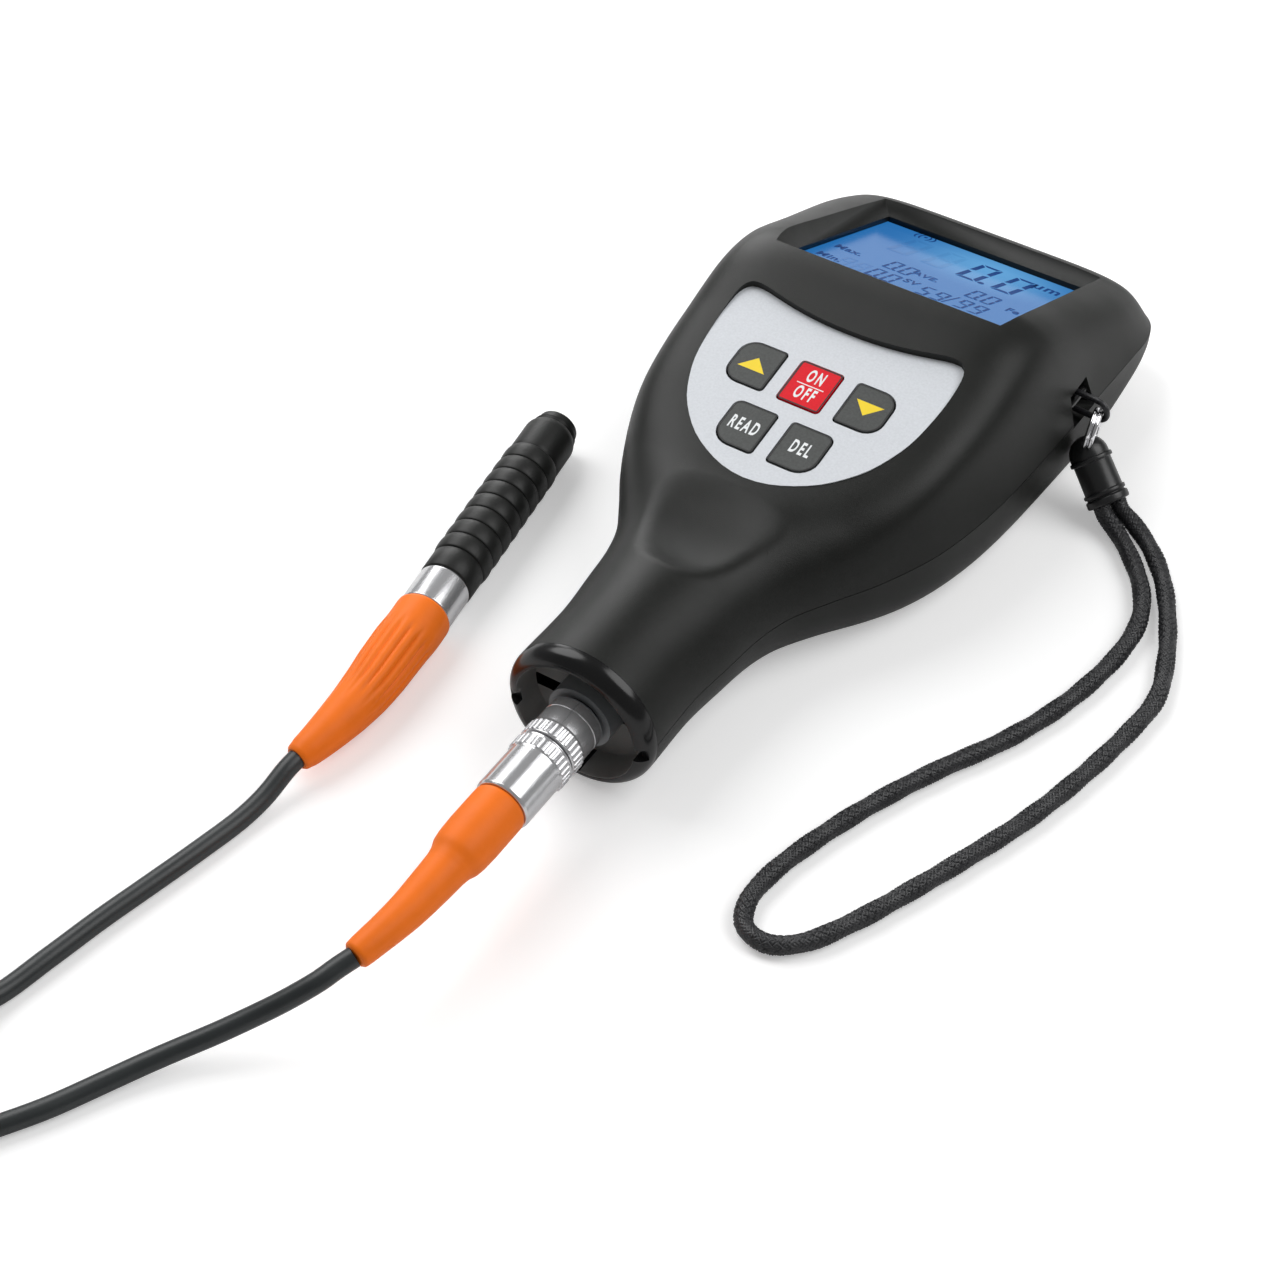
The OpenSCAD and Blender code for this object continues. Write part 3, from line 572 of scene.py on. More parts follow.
class Tree(Graph):
    """A geometry tree with named inputs that ends in realised instances and one material."""

    KINDS = {int: "NodeSocketInt", float: "NodeSocketFloat"}

    def __init__(self, name: str, sizes: dict[str, float | int]) -> None:
        """Starts the tree.

        Args:
            name: the tree's name.
            sizes: each size's name and default.
        """
        super().__init__(bpy.data.node_groups.new(name, "GeometryNodeTree"))
        face = self.tree.interface
        for way in ("INPUT", "OUTPUT"):
            face.new_socket("Geometry", in_out=way, socket_type="NodeSocketGeometry")
        self.ids: dict[str, str] = {}
        for label, value in sizes.items():
            socket = face.new_socket(label, in_out="INPUT", socket_type=self.KINDS[type(value)])
            socket.default_value = value
            self.ids[label] = socket.identifier
        socket = face.new_socket("Material", in_out="INPUT", socket_type="NodeSocketMaterial")
        self.ids["Material"] = socket.identifier
        self.source = self.add("NodeGroupInput").outputs

    def calc(self, operation: str, one: Socket | float, two: Socket | float = 0.0) -> Socket:
        """A sum on two numbers."""
        return self.add("ShaderNodeMath", {0: one, 1: two}, operation=operation).outputs[0]

    def vector(self, operation: str, feeds: Feeds) -> Socket:
        """A sum on vectors."""
        return self.add("ShaderNodeVectorMath", feeds, operation=operation).outputs[0]

    def joined(self, parts: Sequence[Socket]) -> Socket:
        """Several geometries as one.

        Args:
            parts: the geometries.

        Returns:
            All of them.
        """
        both = self.add("GeometryNodeJoinGeometry")
        for part in parts:
            self.tree.links.new(part, both.inputs[0])
        return both.outputs[0]

    def end(self, geometry: Socket) -> None:
        """Closes the tree: realise, material, output.

        Args:
            geometry: what the tree made.
        """
        real = self.add("GeometryNodeRealizeInstances", {0: geometry})
        feeds = {"Geometry": real.outputs[0], "Material": self.source["Material"]}
        self.add("NodeGroupOutput", {0: self.add("GeometryNodeSetMaterial", feeds).outputs[0]})

    def run(self, obj: Object, values: dict[str, object]) -> Object:
        """Applies the tree to an object.

        Args:
            obj: what the tree starts from.
            values: input names and their values.

        Returns:
            The object as a plain mesh.
        """
        modifier = obj.modifiers.new(self.tree.name, "NODES")
        modifier.node_group = self.tree
        for label, value in values.items():
            modifier[self.ids[label]] = value
        return settled(obj)


def knurl_tree() -> Tree:
    """A tree that sets straight teeth round the plug's axis and joins them to the sleeve.

    Returns:
        The tree, with Count, Radius, Tooth, Length, Along and Height as inputs.
    """
    tree = Tree("straight_knurl", {"Count": 48, "Radius": 0.0046, "Tooth": 0.0003,
                                   "Length": 0.002, "Along": 0.0, "Height": 0.0123})
    size = tree.source
    circle = tree.add("GeometryNodeMeshCircle",
                      {"Vertices": size["Count"], "Radius": size["Radius"]})
    bar = tree.add("GeometryNodeMeshCylinder",
                   {"Vertices": 8, "Radius": size["Tooth"], "Depth": size["Length"]})
    spread = tree.add("GeometryNodeInstanceOnPoints",
                      {"Points": circle.outputs["Mesh"], "Instance": bar.outputs["Mesh"]})
    shift = tree.add("ShaderNodeCombineXYZ", {"Y": size["Along"], "Z": size["Height"]})
    lay = tree.add("GeometryNodeTransform",
                   {"Geometry": spread.outputs[0], "Translation": shift.outputs[0],
                    "Rotation": (-math.pi / 2, 0, 0)})
    tree.end(tree.joined((lay.outputs[0], size["Geometry"])))
    return tree


def braid_tree() -> Tree:
    """A tree that lays strands both ways round a path, each over and under the others.

    Returns:
        The tree, with Strands, Radius, Yarn, Pitch and Weave as inputs.
    """
    tree = Tree("braid", {"Strands": 8, "Radius": 0.0012, "Yarn": 0.0004, "Pitch": 0.008,
                          "Weave": 0.0001})
    size = tree.source
    ways = []
    for way in (1.0, -1.0):
        copies = tree.add("GeometryNodeDuplicateElements",
                          {"Geometry": size["Geometry"], "Amount": size["Strands"]},
                          domain="SPLINE")
        # the copy's number has to live on the points before they move
        hold = tree.add("GeometryNodeStoreNamedAttribute",
                        {"Geometry": copies.outputs["Geometry"], "Name": "strand",
                         "Value": copies.outputs["Duplicate Index"]},
                        data_type="FLOAT", domain="CURVE")
        number = tree.add("GeometryNodeInputNamedAttribute", {"Name": "strand"},
                          data_type="FLOAT").outputs["Attribute"]
        along = tree.add("GeometryNodeSplineParameter").outputs["Length"]
        turns = tree.calc("DIVIDE", along, size["Pitch"])
        share = tree.calc("DIVIDE", number, size["Strands"])
        phase = tree.calc("ADD", tree.calc("MULTIPLY", turns, way), share)
        angle = tree.calc("MULTIPLY", phase, 2 * math.pi)
        # each strand rises and dips as it meets the strands of the other way
        beat = tree.calc("MULTIPLY", tree.calc("MULTIPLY", turns, size["Strands"]), 2 * math.pi)
        odd = tree.calc("MULTIPLY", number, math.pi)
        wave = tree.calc("MULTIPLY", tree.calc("SINE", tree.calc("ADD", beat, odd)), way)
        reach = tree.calc("ADD", size["Radius"], tree.calc("MULTIPLY", wave, size["Weave"]))
        normal = tree.add("GeometryNodeInputNormal").outputs[0]
        tangent = tree.add("GeometryNodeInputTangent").outputs[0]
        side = tree.vector("CROSS_PRODUCT", {0: tangent, 1: normal})
        steps = [tree.vector("SCALE", {0: axis, "Scale": tree.calc("MULTIPLY", reach,
                                                                   tree.calc(part, angle))})
                 for axis, part in ((normal, "COSINE"), (side, "SINE"))]
        move = tree.add("GeometryNodeSetPosition",
                        {"Geometry": hold.outputs[0],
                         "Offset": tree.vector("ADD", {0: steps[0], 1: steps[1]})})
        ways.append(move.outputs[0])
    ring = tree.add("GeometryNodeCurvePrimitiveCircle",
                    {"Resolution": 5, "Radius": size["Yarn"]}, mode="RADIUS")
    sweep = tree.add("GeometryNodeCurveToMesh",
                     {"Curve": tree.joined(ways), "Profile Curve": ring.outputs[0],
                      "Fill Caps": True})
    tree.end(tree.add("GeometryNodeSetShadeSmooth", {"Geometry": sweep.outputs[0]}).outputs[0])
    return tree


# finishes


@dataclass(frozen=True)
class Finish:
    """A surface with a colour that varies a little, a grain and an uneven gloss."""

    name: str
    colour: Triple
    roughness: float
    metal: float = 0.0
    specular: float = 0.5
    grain: float = 0.0
    grain_scale: float = 2200.0
    grain_height: float = 0.0002
    vary: float = 0.12
    vary_scale: float = 160.0
    gloss_vary: float = 0.06
    stretch: Triple = (1.0, 1.0, 1.0)

    def material(self) -> bpy.types.Material:
        """Builds the material.

        Returns:
            The finished material.
        """
        paint = Paint(self.name, {"Metallic": self.metal, "Specular IOR Level": self.specular})
        turn = paint.add("ShaderNodeMapping", {"Vector": paint.place(), "Scale": self.stretch})
        place = turn.outputs["Vector"]
        cloud = paint.noise(place, self.vary_scale, 4.0)
        low = [max(0.0, c * (1 - self.vary)) for c in self.colour]
        high = [min(1.0, c * (1 + self.vary)) for c in self.colour]
        gloss = paint.add("ShaderNodeMapRange",
                          {"Value": cloud, "To Min": max(0.02, self.roughness - self.gloss_vary),
                           "To Max": min(1.0, self.roughness + self.gloss_vary)})
        paint.feed(paint.shader, {"Base Color": paint.ramp(cloud, (0.3, low), (0.7, high)),
                                  "Roughness": gloss.outputs["Result"]})
        if self.grain > 0:
            paint.bump(paint.noise(place, self.grain_scale, 2.0), self.grain, self.grain_height)
        return paint.material


@dataclass(frozen=True)
class DisplayGlow:
    """The back-lit blue face of the display, palest at the far middle."""

    name: str
    deep: Triple = (0.015, 0.14, 0.39)
    pale: Triple = (0.11, 0.34, 0.62)
    middle: Triple = (0.004, 0.0535, 0.0155)
    reach: Triple = (0.02, 0.016, 0.016)

    def material(self) -> bpy.types.Material:
        """Builds the material.

        Returns:
            The finished material.
        """
        paint = Paint(self.name, {"Base Color": (0.01, 0.02, 0.05, 1), "Roughness": 0.15,
                                  "Specular IOR Level": 0.1, "Emission Strength": 1.0})
        turn = paint.add("ShaderNodeMapping",
                         {"Vector": paint.place(), "Location": self.middle, "Scale": self.reach},
                         vector_type="TEXTURE")
        spot = paint.add("ShaderNodeTexGradient", {"Vector": turn.outputs["Vector"]},
                         gradient_type="SPHERICAL")
        glow = paint.ramp(spot.outputs["Fac"], (0.0, self.deep), (1.0, self.pale), "EASE")
        paint.feed(paint.shader, {"Emission Color": glow})
        return paint.material


@dataclass(frozen=True)
class Woven:
    """Braided yarn: fine fibres along each strand."""

    name: str
    dark: Triple = (0.006, 0.006, 0.007)
    light: Triple = (0.035, 0.036, 0.04)

    def material(self) -> bpy.types.Material:
        """Builds the material.

        Returns:
            The finished material.
        """
        paint = Paint(self.name, {"Roughness": 0.36, "Specular IOR Level": 0.6})
        fibre = paint.noise(paint.place(), 5200.0, 3.0)
        colour = paint.ramp(fibre, (0.35, self.dark), (0.75, self.light))
        paint.feed(paint.shader, {"Base Color": colour})
        paint.bump(fibre, 0.4, 0.0001)
        return paint.material


class Coat(Enum):
    """Every finish on the object."""

    CASING = Finish("charcoal_plastic", (0.007, 0.0077, 0.0066), 0.42, specular=0.28, grain=0.16,
                    grain_scale=7500.0, vary=0.1)
    GLOSS = Finish("gloss_black_plastic", (0.006, 0.006, 0.0063), 0.2, specular=0.4, grain=0.02,
                   grain_scale=900.0)
    FILM = Finish("silver_film", (0.64, 0.665, 0.7), 0.46, grain=0.08, grain_scale=3000.0,
                  vary=0.05, vary_scale=2600.0)
    KEY_GREY = Finish("key_grey_print", (0.066, 0.07, 0.068), 0.45, specular=0.3, grain=0.08,
                      grain_scale=3000.0, vary=0.14, vary_scale=2600.0)
    KEY_RED = Finish("key_red_print", (0.72, 0.005, 0.016), 0.45, specular=0.2, grain=0.06,
                     grain_scale=3000.0, vary=0.06, vary_scale=2600.0)
    INK_BLACK = Finish("outline_ink", (0.006, 0.006, 0.006), 0.5, grain=0.05)
    INK_WHITE = Finish("letter_ink", (0.82, 0.84, 0.85), 0.5, grain=0.05, vary=0.04)
    INK_YELLOW = Finish("arrow_ink", (0.9, 0.66, 0.006), 0.45, grain=0.05, vary=0.04)
    INK_BLUE = Finish("segment_ink", (0.008, 0.05, 0.2), 0.4, specular=0.1, vary=0.04)
    INK_GHOST = DisplayGlow("idle_segment_glow", (0.012, 0.12, 0.35), (0.095, 0.31, 0.58))
    CHROME = Finish("chrome", (0.8, 0.8, 0.81), 0.26, metal=1.0, grain=0.05, grain_scale=5000.0,
                    vary=0.03, gloss_vary=0.05)
    NICKEL = Finish("plug_nickel", (0.66, 0.66, 0.675), 0.2, metal=0.74, grain=0.06,
                    grain_scale=5000.0, vary=0.05, stretch=(1.0, 0.08, 1.0))
    STEEL = Finish("spring_steel", (0.62, 0.62, 0.63), 0.26, metal=1.0, grain=0.05,
                   grain_scale=2600.0, vary=0.05)
    # the cup floor's matt grey is partly painted light: made lighter than its own tone where the
    # nose rim shades the cup
    CUP_GREY_PAINTED_LIGHT = Finish("cup_grey_painted_light", (0.17, 0.17, 0.165), 0.6, specular=0.3, grain=0.15,
                 grain_scale=4000.0)
    SOCKET = Finish("socket_grey", (0.09, 0.092, 0.095), 0.42, grain=0.1, grain_scale=3000.0)
    ORANGE = Finish("orange_rubber", (0.94, 0.185, 0.008), 0.5, specular=0.25, grain=0.1,
                    grain_scale=1500.0, vary=0.05)
    CABLE = Finish("cable_sheath", (0.021, 0.025, 0.026), 0.4, grain=0.08, grain_scale=1800.0)
    GRIP = Finish("grip_rubber", (0.009, 0.0095, 0.0087), 0.45, specular=0.35, grain=0.12)
    BOARD = Finish("solder_mask", (0.012, 0.11, 0.045), 0.35, grain=0.05, vary=0.1)
    CHIP = Finish("moulded_chip", (0.012, 0.012, 0.012), 0.55, grain=0.15, grain_scale=4000.0)
    CELL = Finish("cell_sleeve", (0.2, 0.21, 0.23), 0.28, metal=0.5, grain=0.02, vary=0.06)
    LIGHT = Finish("diffuser", (0.75, 0.8, 0.85), 0.5, grain=0.05, vary=0.03)
    FERRULE = Finish("ferrule_black", (0.012, 0.0125, 0.013), 0.32, grain=0.08,
                     grain_scale=2600.0)
    GLOW = DisplayGlow("display_glow")
    BRAID = Woven("strap_braid")

    def get(self) -> bpy.types.Material:
        """The material, built the first time it is asked for."""
        return bpy.data.materials.get(self.value.name) or self.value.material()


def dress(obj: Object, coat: Coat) -> Object:
    """Gives an object one finish all over.

    Args:
        obj: the object.
        coat: its finish.

    Returns:
        The object.
    """
    obj.data.materials.clear()
    obj.data.materials.append(coat.get())
    return obj


def dress_nodes(coats: dict[str, Coat]) -> None:
    """Gives each named CAD node its finish."""
    for node, coat in coats.items():
        dress(frame["nodes"][node], coat)


def settle_in(obj: Object, body: str, slot: str, *nodes: str) -> Object:
    """Makes a piece ride on a body and stand for CAD nodes.

    Args:
        obj: the piece.
        body: the body that it moves with.
        slot: the record's material slot; not used.
        nodes: CAD nodes that it replaces.

    Returns:
        The piece.
    """
    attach(obj, body)
    if nodes:
        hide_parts(*nodes)
    LOG.info("%s rides on %s, %d faces", obj.name, body, len(obj.data.polygons))
    return obj


# stage


@dataclass
class Stage:
    """Camera at the photograph's angle, pale floor and soft lamps."""

    eye: Triple = (142.925, -263.004, 284.819)
    right: Triple = (0.83927916, 0.54359215, -0.01086564)
    down: Triple = (0.38692912, -0.61120036, -0.69044911)
    forward: Triple = (-0.3819638, 0.57527532, -0.72329936)
    lens: float = 73.0125
    sensor: float = 36.0
    floor_half: float = 3000.0
    floor_z: float = -0.02
    floor_grey: float = 0.86
    floor_lift: float = 0.34
    surroundings: float = 0.22

    def camera(self) -> None:
        """Sets the camera where the photograph was taken from."""
        data = bpy.data.cameras.new("camera")
        data.sensor_fit, data.sensor_width, data.lens = "HORIZONTAL", self.sensor, self.lens
        data.clip_start, data.clip_end = 0.01, 20.0
        obj = link("camera", data)
        up, back = -np.array(self.down), -np.array(self.forward)
        obj.matrix_world = frame_of(self.right, up, back, Vector(self.eye) * MM)
        bpy.context.scene.camera = obj

    def floor(self) -> None:
        """Lays the pale floor."""
        corners = ((-1, -1), (1, -1), (1, 1), (-1, 1))
        points = [(x * self.floor_half, y * self.floor_half, self.floor_z) for x, y in corners]
        obj = make("floor", np.array(points), [[0, 1, 2, 3]], close=False)
        paint = Paint("pale_floor", {"Base Color": (*[self.floor_grey] * 3, 1), "Roughness": 0.9,
                                     "Specular IOR Level": 0.1, "Emission Color": (1, 1, 1, 1)})
        # only the camera sees the floor's lift to white, so that it adds no light to the object
        ray = paint.add("ShaderNodeLightPath").outputs["Is Camera Ray"]
        lift = paint.add("ShaderNodeMath", {0: ray, 1: self.floor_lift}, operation="MULTIPLY")
        paint.feed(paint.shader, {"Emission Strength": lift.outputs[0]})
        obj.data.materials.append(paint.material)

    def lamp(self, name: str, place: Triple, size: float, power: float) -> None:
        """Hangs one soft lamp that faces the origin.

        Args:
            name: the lamp's name.
            place: where it hangs, in metres.
            size: its width, in metres.
            power: its power, in watts.
        """
        data = bpy.data.lights.new(name, "AREA")
        data.shape, data.size, data.energy = "DISK", size, power
        obj = link(name, data)
        obj.location = place
        obj.rotation_euler = (-Vector(place)).to_track_quat("-Z", "Y").to_euler()

    def build(self) -> None:
        """Sets camera, floor, lamps and surroundings."""
        self.camera()
        self.floor()
        self.lamp("left_softbox", (-0.62, 0.08, 0.75), 0.8, 5.7)
        self.lamp("right_softbox", (0.55, 0.3, 0.75), 0.8, 5.0)
        self.lamp("back_softbox", (-0.62, 0.68, 0.38), 0.55, 3.2)
        world = bpy.data.worlds.new("surroundings")
        bpy.context.scene.world = world
        world.use_nodes = True
        Graph(world.node_tree).feed(world.node_tree.nodes["Background"],
                                    {"Color": (1, 1, 1, 1), "Strength": self.surroundings})
        bpy.context.scene.view_settings.view_transform = "Standard"


# cords


@dataclass
class ProbeCable:
    """The round cable from the plug to the probe, its unseen length in a tied coil."""

    ends: list[Object]
    diameter: float = 3.0
    rest: float = 1.55
    boot_end: Triple = (-1.8, -51.6, 11.6)
    probe_end: Triple = (-34.2, -23.8, 4.0)
    inside_boot: tuple[Triple, ...] = (
        (-33.7, -20, 4.15), (-33.4, -16, 4.3), (-33.3, -12, 4.4), (-33.5, -7.5, 4.5),
        (-34, -3, 4.6), (-34.6, 2, 4.65), (-35.35, 8.8, 4.65))
    coil_middle: Pair = (-56.0, -107.0)
    coil_radii: Pair = (15.4, 18.6)
    coil_rows: tuple[float, ...] = (1.95, 5.0, 8.05, 11.1)
    coil_step: float = 15.0
    crossing: float = 0.18
    enter: float = -15.0
    leave: float = 100.0
    tie_at: float = 215.0
    tie_wide: float = 3.2
    tie_thick: float = 0.35
    tie_slack: float = 0.05
    sample: float = 1.1
    sides: int = 16

    def turns(self) -> list[Triple]:
        """Points of the coil, wound clockwise from the table up.

        Returns:
            Points measured from the seam.
        """
        layers: list[Pair] = []
        for row, z in enumerate(self.coil_rows):
            radii = self.coil_radii if row % 2 else self.coil_radii[::-1]
            layers += [(r, z) for r in radii]
        total = 360.0 * len(layers) - (self.leave - self.enter)
        points = []
        for k in range(int(total // self.coil_step) + 1):
            layer = k * self.coil_step / 360.0
            here = min(int(layer), len(layers) - 1)
            ahead = min(here + 1, len(layers) - 1)
            # the last part of each turn eases over to the next layer
            t = min(1.0, max(0.0, (layer - here - 1 + self.crossing) / self.crossing))
            t = t * t * (3 - 2 * t)
            r, z = (a * (1 - t) + b * t for a, b in zip(layers[here], layers[ahead]))
            a = math.radians(self.enter - k * self.coil_step)
            points.append((self.coil_middle[0] + r * math.cos(a),
                           self.coil_middle[1] + r * math.sin(a), z))
        return points

    def route(self) -> np.ndarray:
        """The whole centreline.

        Returns:
            Points in the part's frame, in millimetres.
        """
        z = self.rest
        first = [self.boot_end, (-2.9, -53.9, 11.0), (-3.9, -56.4, 10.4), (-7, -60.4, 8.2),
                 (-10.4, -64, 6), (-13.6, -67.6, 4.3), (-16.8, -71.4, 3), (-19.4, -75, 2.2),
                 (-21.8, -79, z + 0.2), (-26, -86.8, z), (-30, -93, z), (-34, -99, z),
                 (-36.8, -105.2, z)]
        last = [(-53.2, -88.0, 10.2), (-48.6, -86.6, 7.6), (-45.4, -83.4, 4.0),
                (-43.7, -77.4, z + 0.2), (-42, -68.4, z), (-40.4, -59.6, z), (-38.6, -51.4, z),
                (-36.8, -43, z), (-35.4, -35.2, z), (-34.8, -30.6, 2.2), (-34.4, -25.8, 3.7),
                self.probe_end, *self.inside_boot]
        points = np.array(first + self.turns() + last, float)
        points[:, 1] += SEAM_Y
        return smooth_path(points, self.sample)

    def tie(self) -> Object:
        """The flat band that holds the coil together.

        Returns:
            The band, round the coil's section.
        """
        bend = self.diameter / 2
        inner, outer = self.coil_radii[0] - self.tie_slack, self.coil_radii[1] + self.tie_slack
        low, high = self.coil_rows[0] - self.tie_slack, self.coil_rows[-1] + self.tie_slack
        corners = ((outer, high, 0), (inner, high, 90), (inner, low, 180), (outer, low, 270))
        x, y = self.coil_middle
        place = tilted((x, y + SEAM_Y, 0.0), self.tie_at, "Z")
        inside, half = bend, self.tie_wide / 2
        outside = bend + self.tie_thick
        ring = []
        for u, v, first in corners:
            for turn in np.radians(np.arange(first, first + 91, 15)):
                for reach, side in ((inside, -half), (inside, half), (outside, half),
                                    (outside, -half)):
                    ring.append((u + reach * math.cos(turn), side, v + reach * math.sin(turn)))
        count = len(ring) // 4
        faces = loft_faces(count, 4, caps=False)
        faces += [[4 * count - 4 + k, 4 * count - 4 + (k + 1) % 4, (k + 1) % 4, k]
                  for k in range(4)]
        obj = make("coil_tie", placed(np.array(ring), place), faces)
        return settle_in(dress(obj, Coat.GRIP), GAUGE, "grip")

    def build(self) -> None:
        line = self.route()
        obj = dress(tube("probe_cable", line, self.diameter / 2, self.sides), Coat.CABLE)
        settle_in(obj, GAUGE, "cable", "cable_plug_run", "cable_coil", "cable_probe_run")
        self.tie()


@dataclass
class WristStrap:
    """The braided loop with its ferrule, on the split ring that hangs from the lug's cord."""

    cord: float = 3.0
    strands: int = 12
    pitch: float = 7.5
    yarn: float = 0.3
    weave: float = 0.16
    core_in: float = 0.65
    yarn_in: float = 0.46
    clearance: float = 0.05
    lug_station: float = 93.4
    lug_in: float = 2.0
    lug_up: float = 2.15
    lug_d: float = 1.5
    loop_dir: Triple = (0.97, -0.2, 0.12)
    loop_r: float = 1.7
    loop_w: float = 0.5
    loop_l: float = 4.2
    loop_gap: float = 0.15
    ring_dir: Triple = (0.02, -0.49, -0.87)
    ring_flat: Triple = (0.97, 0.25, 0.0)
    ring_r: float = 3.15
    ring_wire: float = 0.42
    ring_wires: float = 1.9
    eye: Triple = (0.35, 0.35, -1.5)
    eye_gap: float = 0.2
    hang: Triple = (0.675, -0.347, -0.651)
    ferrule_r: float = 3.45
    ferrule_l: float = 11.4
    ferrule_lip: float = 0.3
    route_points: tuple[Triple, ...] = (
        (43.6, 83.6, 0.5), (47.9, 80, 0), (52.7, 73.9, 0), (55.1, 67.8, 0), (55.5, 60.3, 0),
        (53.5, 48.2, 0), (49.4, 36.6, 0), (43.4, 25.2, 0), (38.8, 15, 0), (35.1, 4.5, 0),
        (33.1, -3.6, 0), (32.9, -9.6, 0), (34.8, -13.4, 0), (38.8, -14.3, 0), (42.8, -11.6, 0),
        (46.9, -4.8, 0), (51, 4.4, 0), (54.8, 13.8, 0), (58.4, 23.6, 0), (61.5, 35.4, 0),
        (63.6, 47.2, 0), (64.1, 54.9, 0), (62, 62.7, 0), (58.5, 70.8, 0), (54.3, 78, 0),
        (49.4, 83.6, 0), (45.4, 86.4, 0.5))

    def ring_frame(self, casing: "Casing") -> Matrix:
        """The split ring's frame: Z along its axis, Y down to the ferrule's eye.

        Args:
            casing: the casing that the lug stands on.

        Returns:
            The frame.
        """
        lug = np.array([casing.half_width(self.lug_station) - self.lug_in,
                        SEAM_Y + self.lug_station,
                        casing.seam_height(self.lug_station) + self.lug_up])
        bore = self.loop_r - self.loop_w
        out = bore - self.lug_d / 2 + self.loop_l
        out += bore - self.ring_wires * self.ring_wire - self.loop_gap
        down = unit(self.ring_dir)
        side = unit(np.cross(unit(self.ring_flat), down))
        middle = lug + out * unit(self.loop_dir) + self.ring_r * down
        return frame_of(side, down, np.cross(side, down), middle)

    def ferrule_frame(self, ring: Matrix) -> Matrix:
        """The ferrule's frame: Z along the strap, origin at the middle of its dome.

        Args:
            ring: the split ring's frame.

        Returns:
            The frame.
        """
        hang = unit(self.hang)
        side = unit(np.cross(hang, [0, 0, 1.0]))
        middle = ring @ Vector((0, self.ring_r, 0)) + Vector(self.eye)
        return frame_of(side, np.cross(hang, side), hang, middle)

    def path(self, place: Matrix) -> np.ndarray:
        """Centreline of the loop from the ferrule round to the ferrule.

        Args:
            place: the ferrule's frame.

        Returns:
            Points in the part's frame, in millimetres.
        """
        lift = self.cord / 2 + self.clearance
        reach = self.ferrule_l - self.ferrule_r + self.ferrule_lip
        out, back = [[tuple(place @ Vector((side * lift, 0, reach + d))) for d in (0.0, 1.5)]
                     for side in (1, -1)]
        middle = [(x, y + SEAM_Y, lift + z) for x, y, z in self.route_points]
        line = smooth_path([*out, *middle, *reversed(back)], 0.3)
        # the curve may dip between its points, but the cord lies on the table
        line[:, 2] = np.maximum(line[:, 2], lift - 0.01)
        return line

    def ferrule(self, place: Matrix, ring: Matrix) -> Object:
        """Turns the black ferrule with its dome, beads and flange, and drills its eye.

        Args:
            place: the ferrule's frame.
            ring: the split ring's frame.

        Returns:
            The ferrule.
        """
        big, dome = self.ferrule_r, self.ferrule_r - self.ferrule_lip
        end, slim = self.ferrule_l - dome, dome - 0.1
        cap = [(dome * math.sin(a), -dome * math.cos(a)) for a in np.radians(np.arange(0, 90, 6))]
        side = rounded([(dome, 0.0, 0), (dome, 0.4, 0), (big, 0.5, 0.15), (big, 1.1, 0.15),
                        (slim, 1.2, 0.1), (dome - 0.05, 5.9, 0.1), (big - 0.05, 6.0, 0.15),
                        (big - 0.05, 6.55, 0.15), (slim, 6.65, 0.1), (slim, 6.85, 0.1),
                        (big, 7.0, 0.3), (big, end - 0.1, 0.35), (dome - 0.3, end, 0.2),
                        (0.0, end, 0)])
        body = revolve("strap_ferrule_turned", cap + side, place, 72, 60.0)
        wire = self.ring_wires * self.ring_wire + self.eye_gap
        rim = [(self.ring_r + wire * math.cos(a), wire * math.sin(a))
               for a in np.linspace(0, 2 * math.pi, 25)]
        return carved(body, [revolve("eye_cutter", rim, ring)])

    def braid(self, line: np.ndarray) -> Object:
        """The braided cord: yarn round a core.

        Args:
            line: its centreline, in millimetres.

        Returns:
            The cord.
        """
        curve = bpy.data.curves.new("strap_path", "CURVE")
        curve.dimensions = "3D"
        spline = curve.splines.new("POLY")
        spline.points.add(len(line) - 1)
        places = np.c_[line * MM, np.ones(len(line))]
        spline.points.foreach_set("co", places.astype(np.float32).ravel())
        yarn = braid_tree().run(link("strap_yarn", curve), {
            "Strands": self.strands, "Radius": (self.cord / 2 - self.yarn_in) * MM,
            "Yarn": self.yarn * MM, "Pitch": self.pitch * MM, "Weave": self.weave * MM,
            "Material": Coat.BRAID.get()})
        core = tube("strap_core", even(line, 1.5), self.cord / 2 - self.core_in, 10)
        return join("wrist_strap", [yarn, dress(core, Coat.BRAID)])

    def build(self, casing: "Casing") -> None:
        """Args:
            casing: the casing that the strap hangs from.
        """
        ring = self.ring_frame(casing)
        place = self.ferrule_frame(ring)
        line = self.path(place)
        ferrule = dress(self.ferrule(place, ring), Coat.FERRULE)
        settle_in(ferrule, GAUGE, "gloss_black", "strap_ferrule")
        strap = settle_in(self.braid(line), GAUGE, "braid", "strap_cord")


# casing


@dataclass
class Skin:
    """The outside of a cover over its sections, with a search tree and smooth normals."""

    tree: BVHTree
    points: np.ndarray
    normals: np.ndarray
    faces: list[tuple[int, int, int]]

    def at(self, place: Vector) -> tuple[Vector, Vector]:
        """Nearest point of the skin to a place.

        Args:
            place: a place near the skin, in millimetres.

        Returns:
            The point and the smooth normal there.
        """
        here, _, face, _ = self.tree.find_nearest(place)
        corners = self.faces[face]
        share = poly_3d_calc([Vector(self.points[c]) for c in corners], here)
        normal = sum(self.normals[c] * s for c, s in zip(corners, share))
        return here, Vector(normal).normalized()


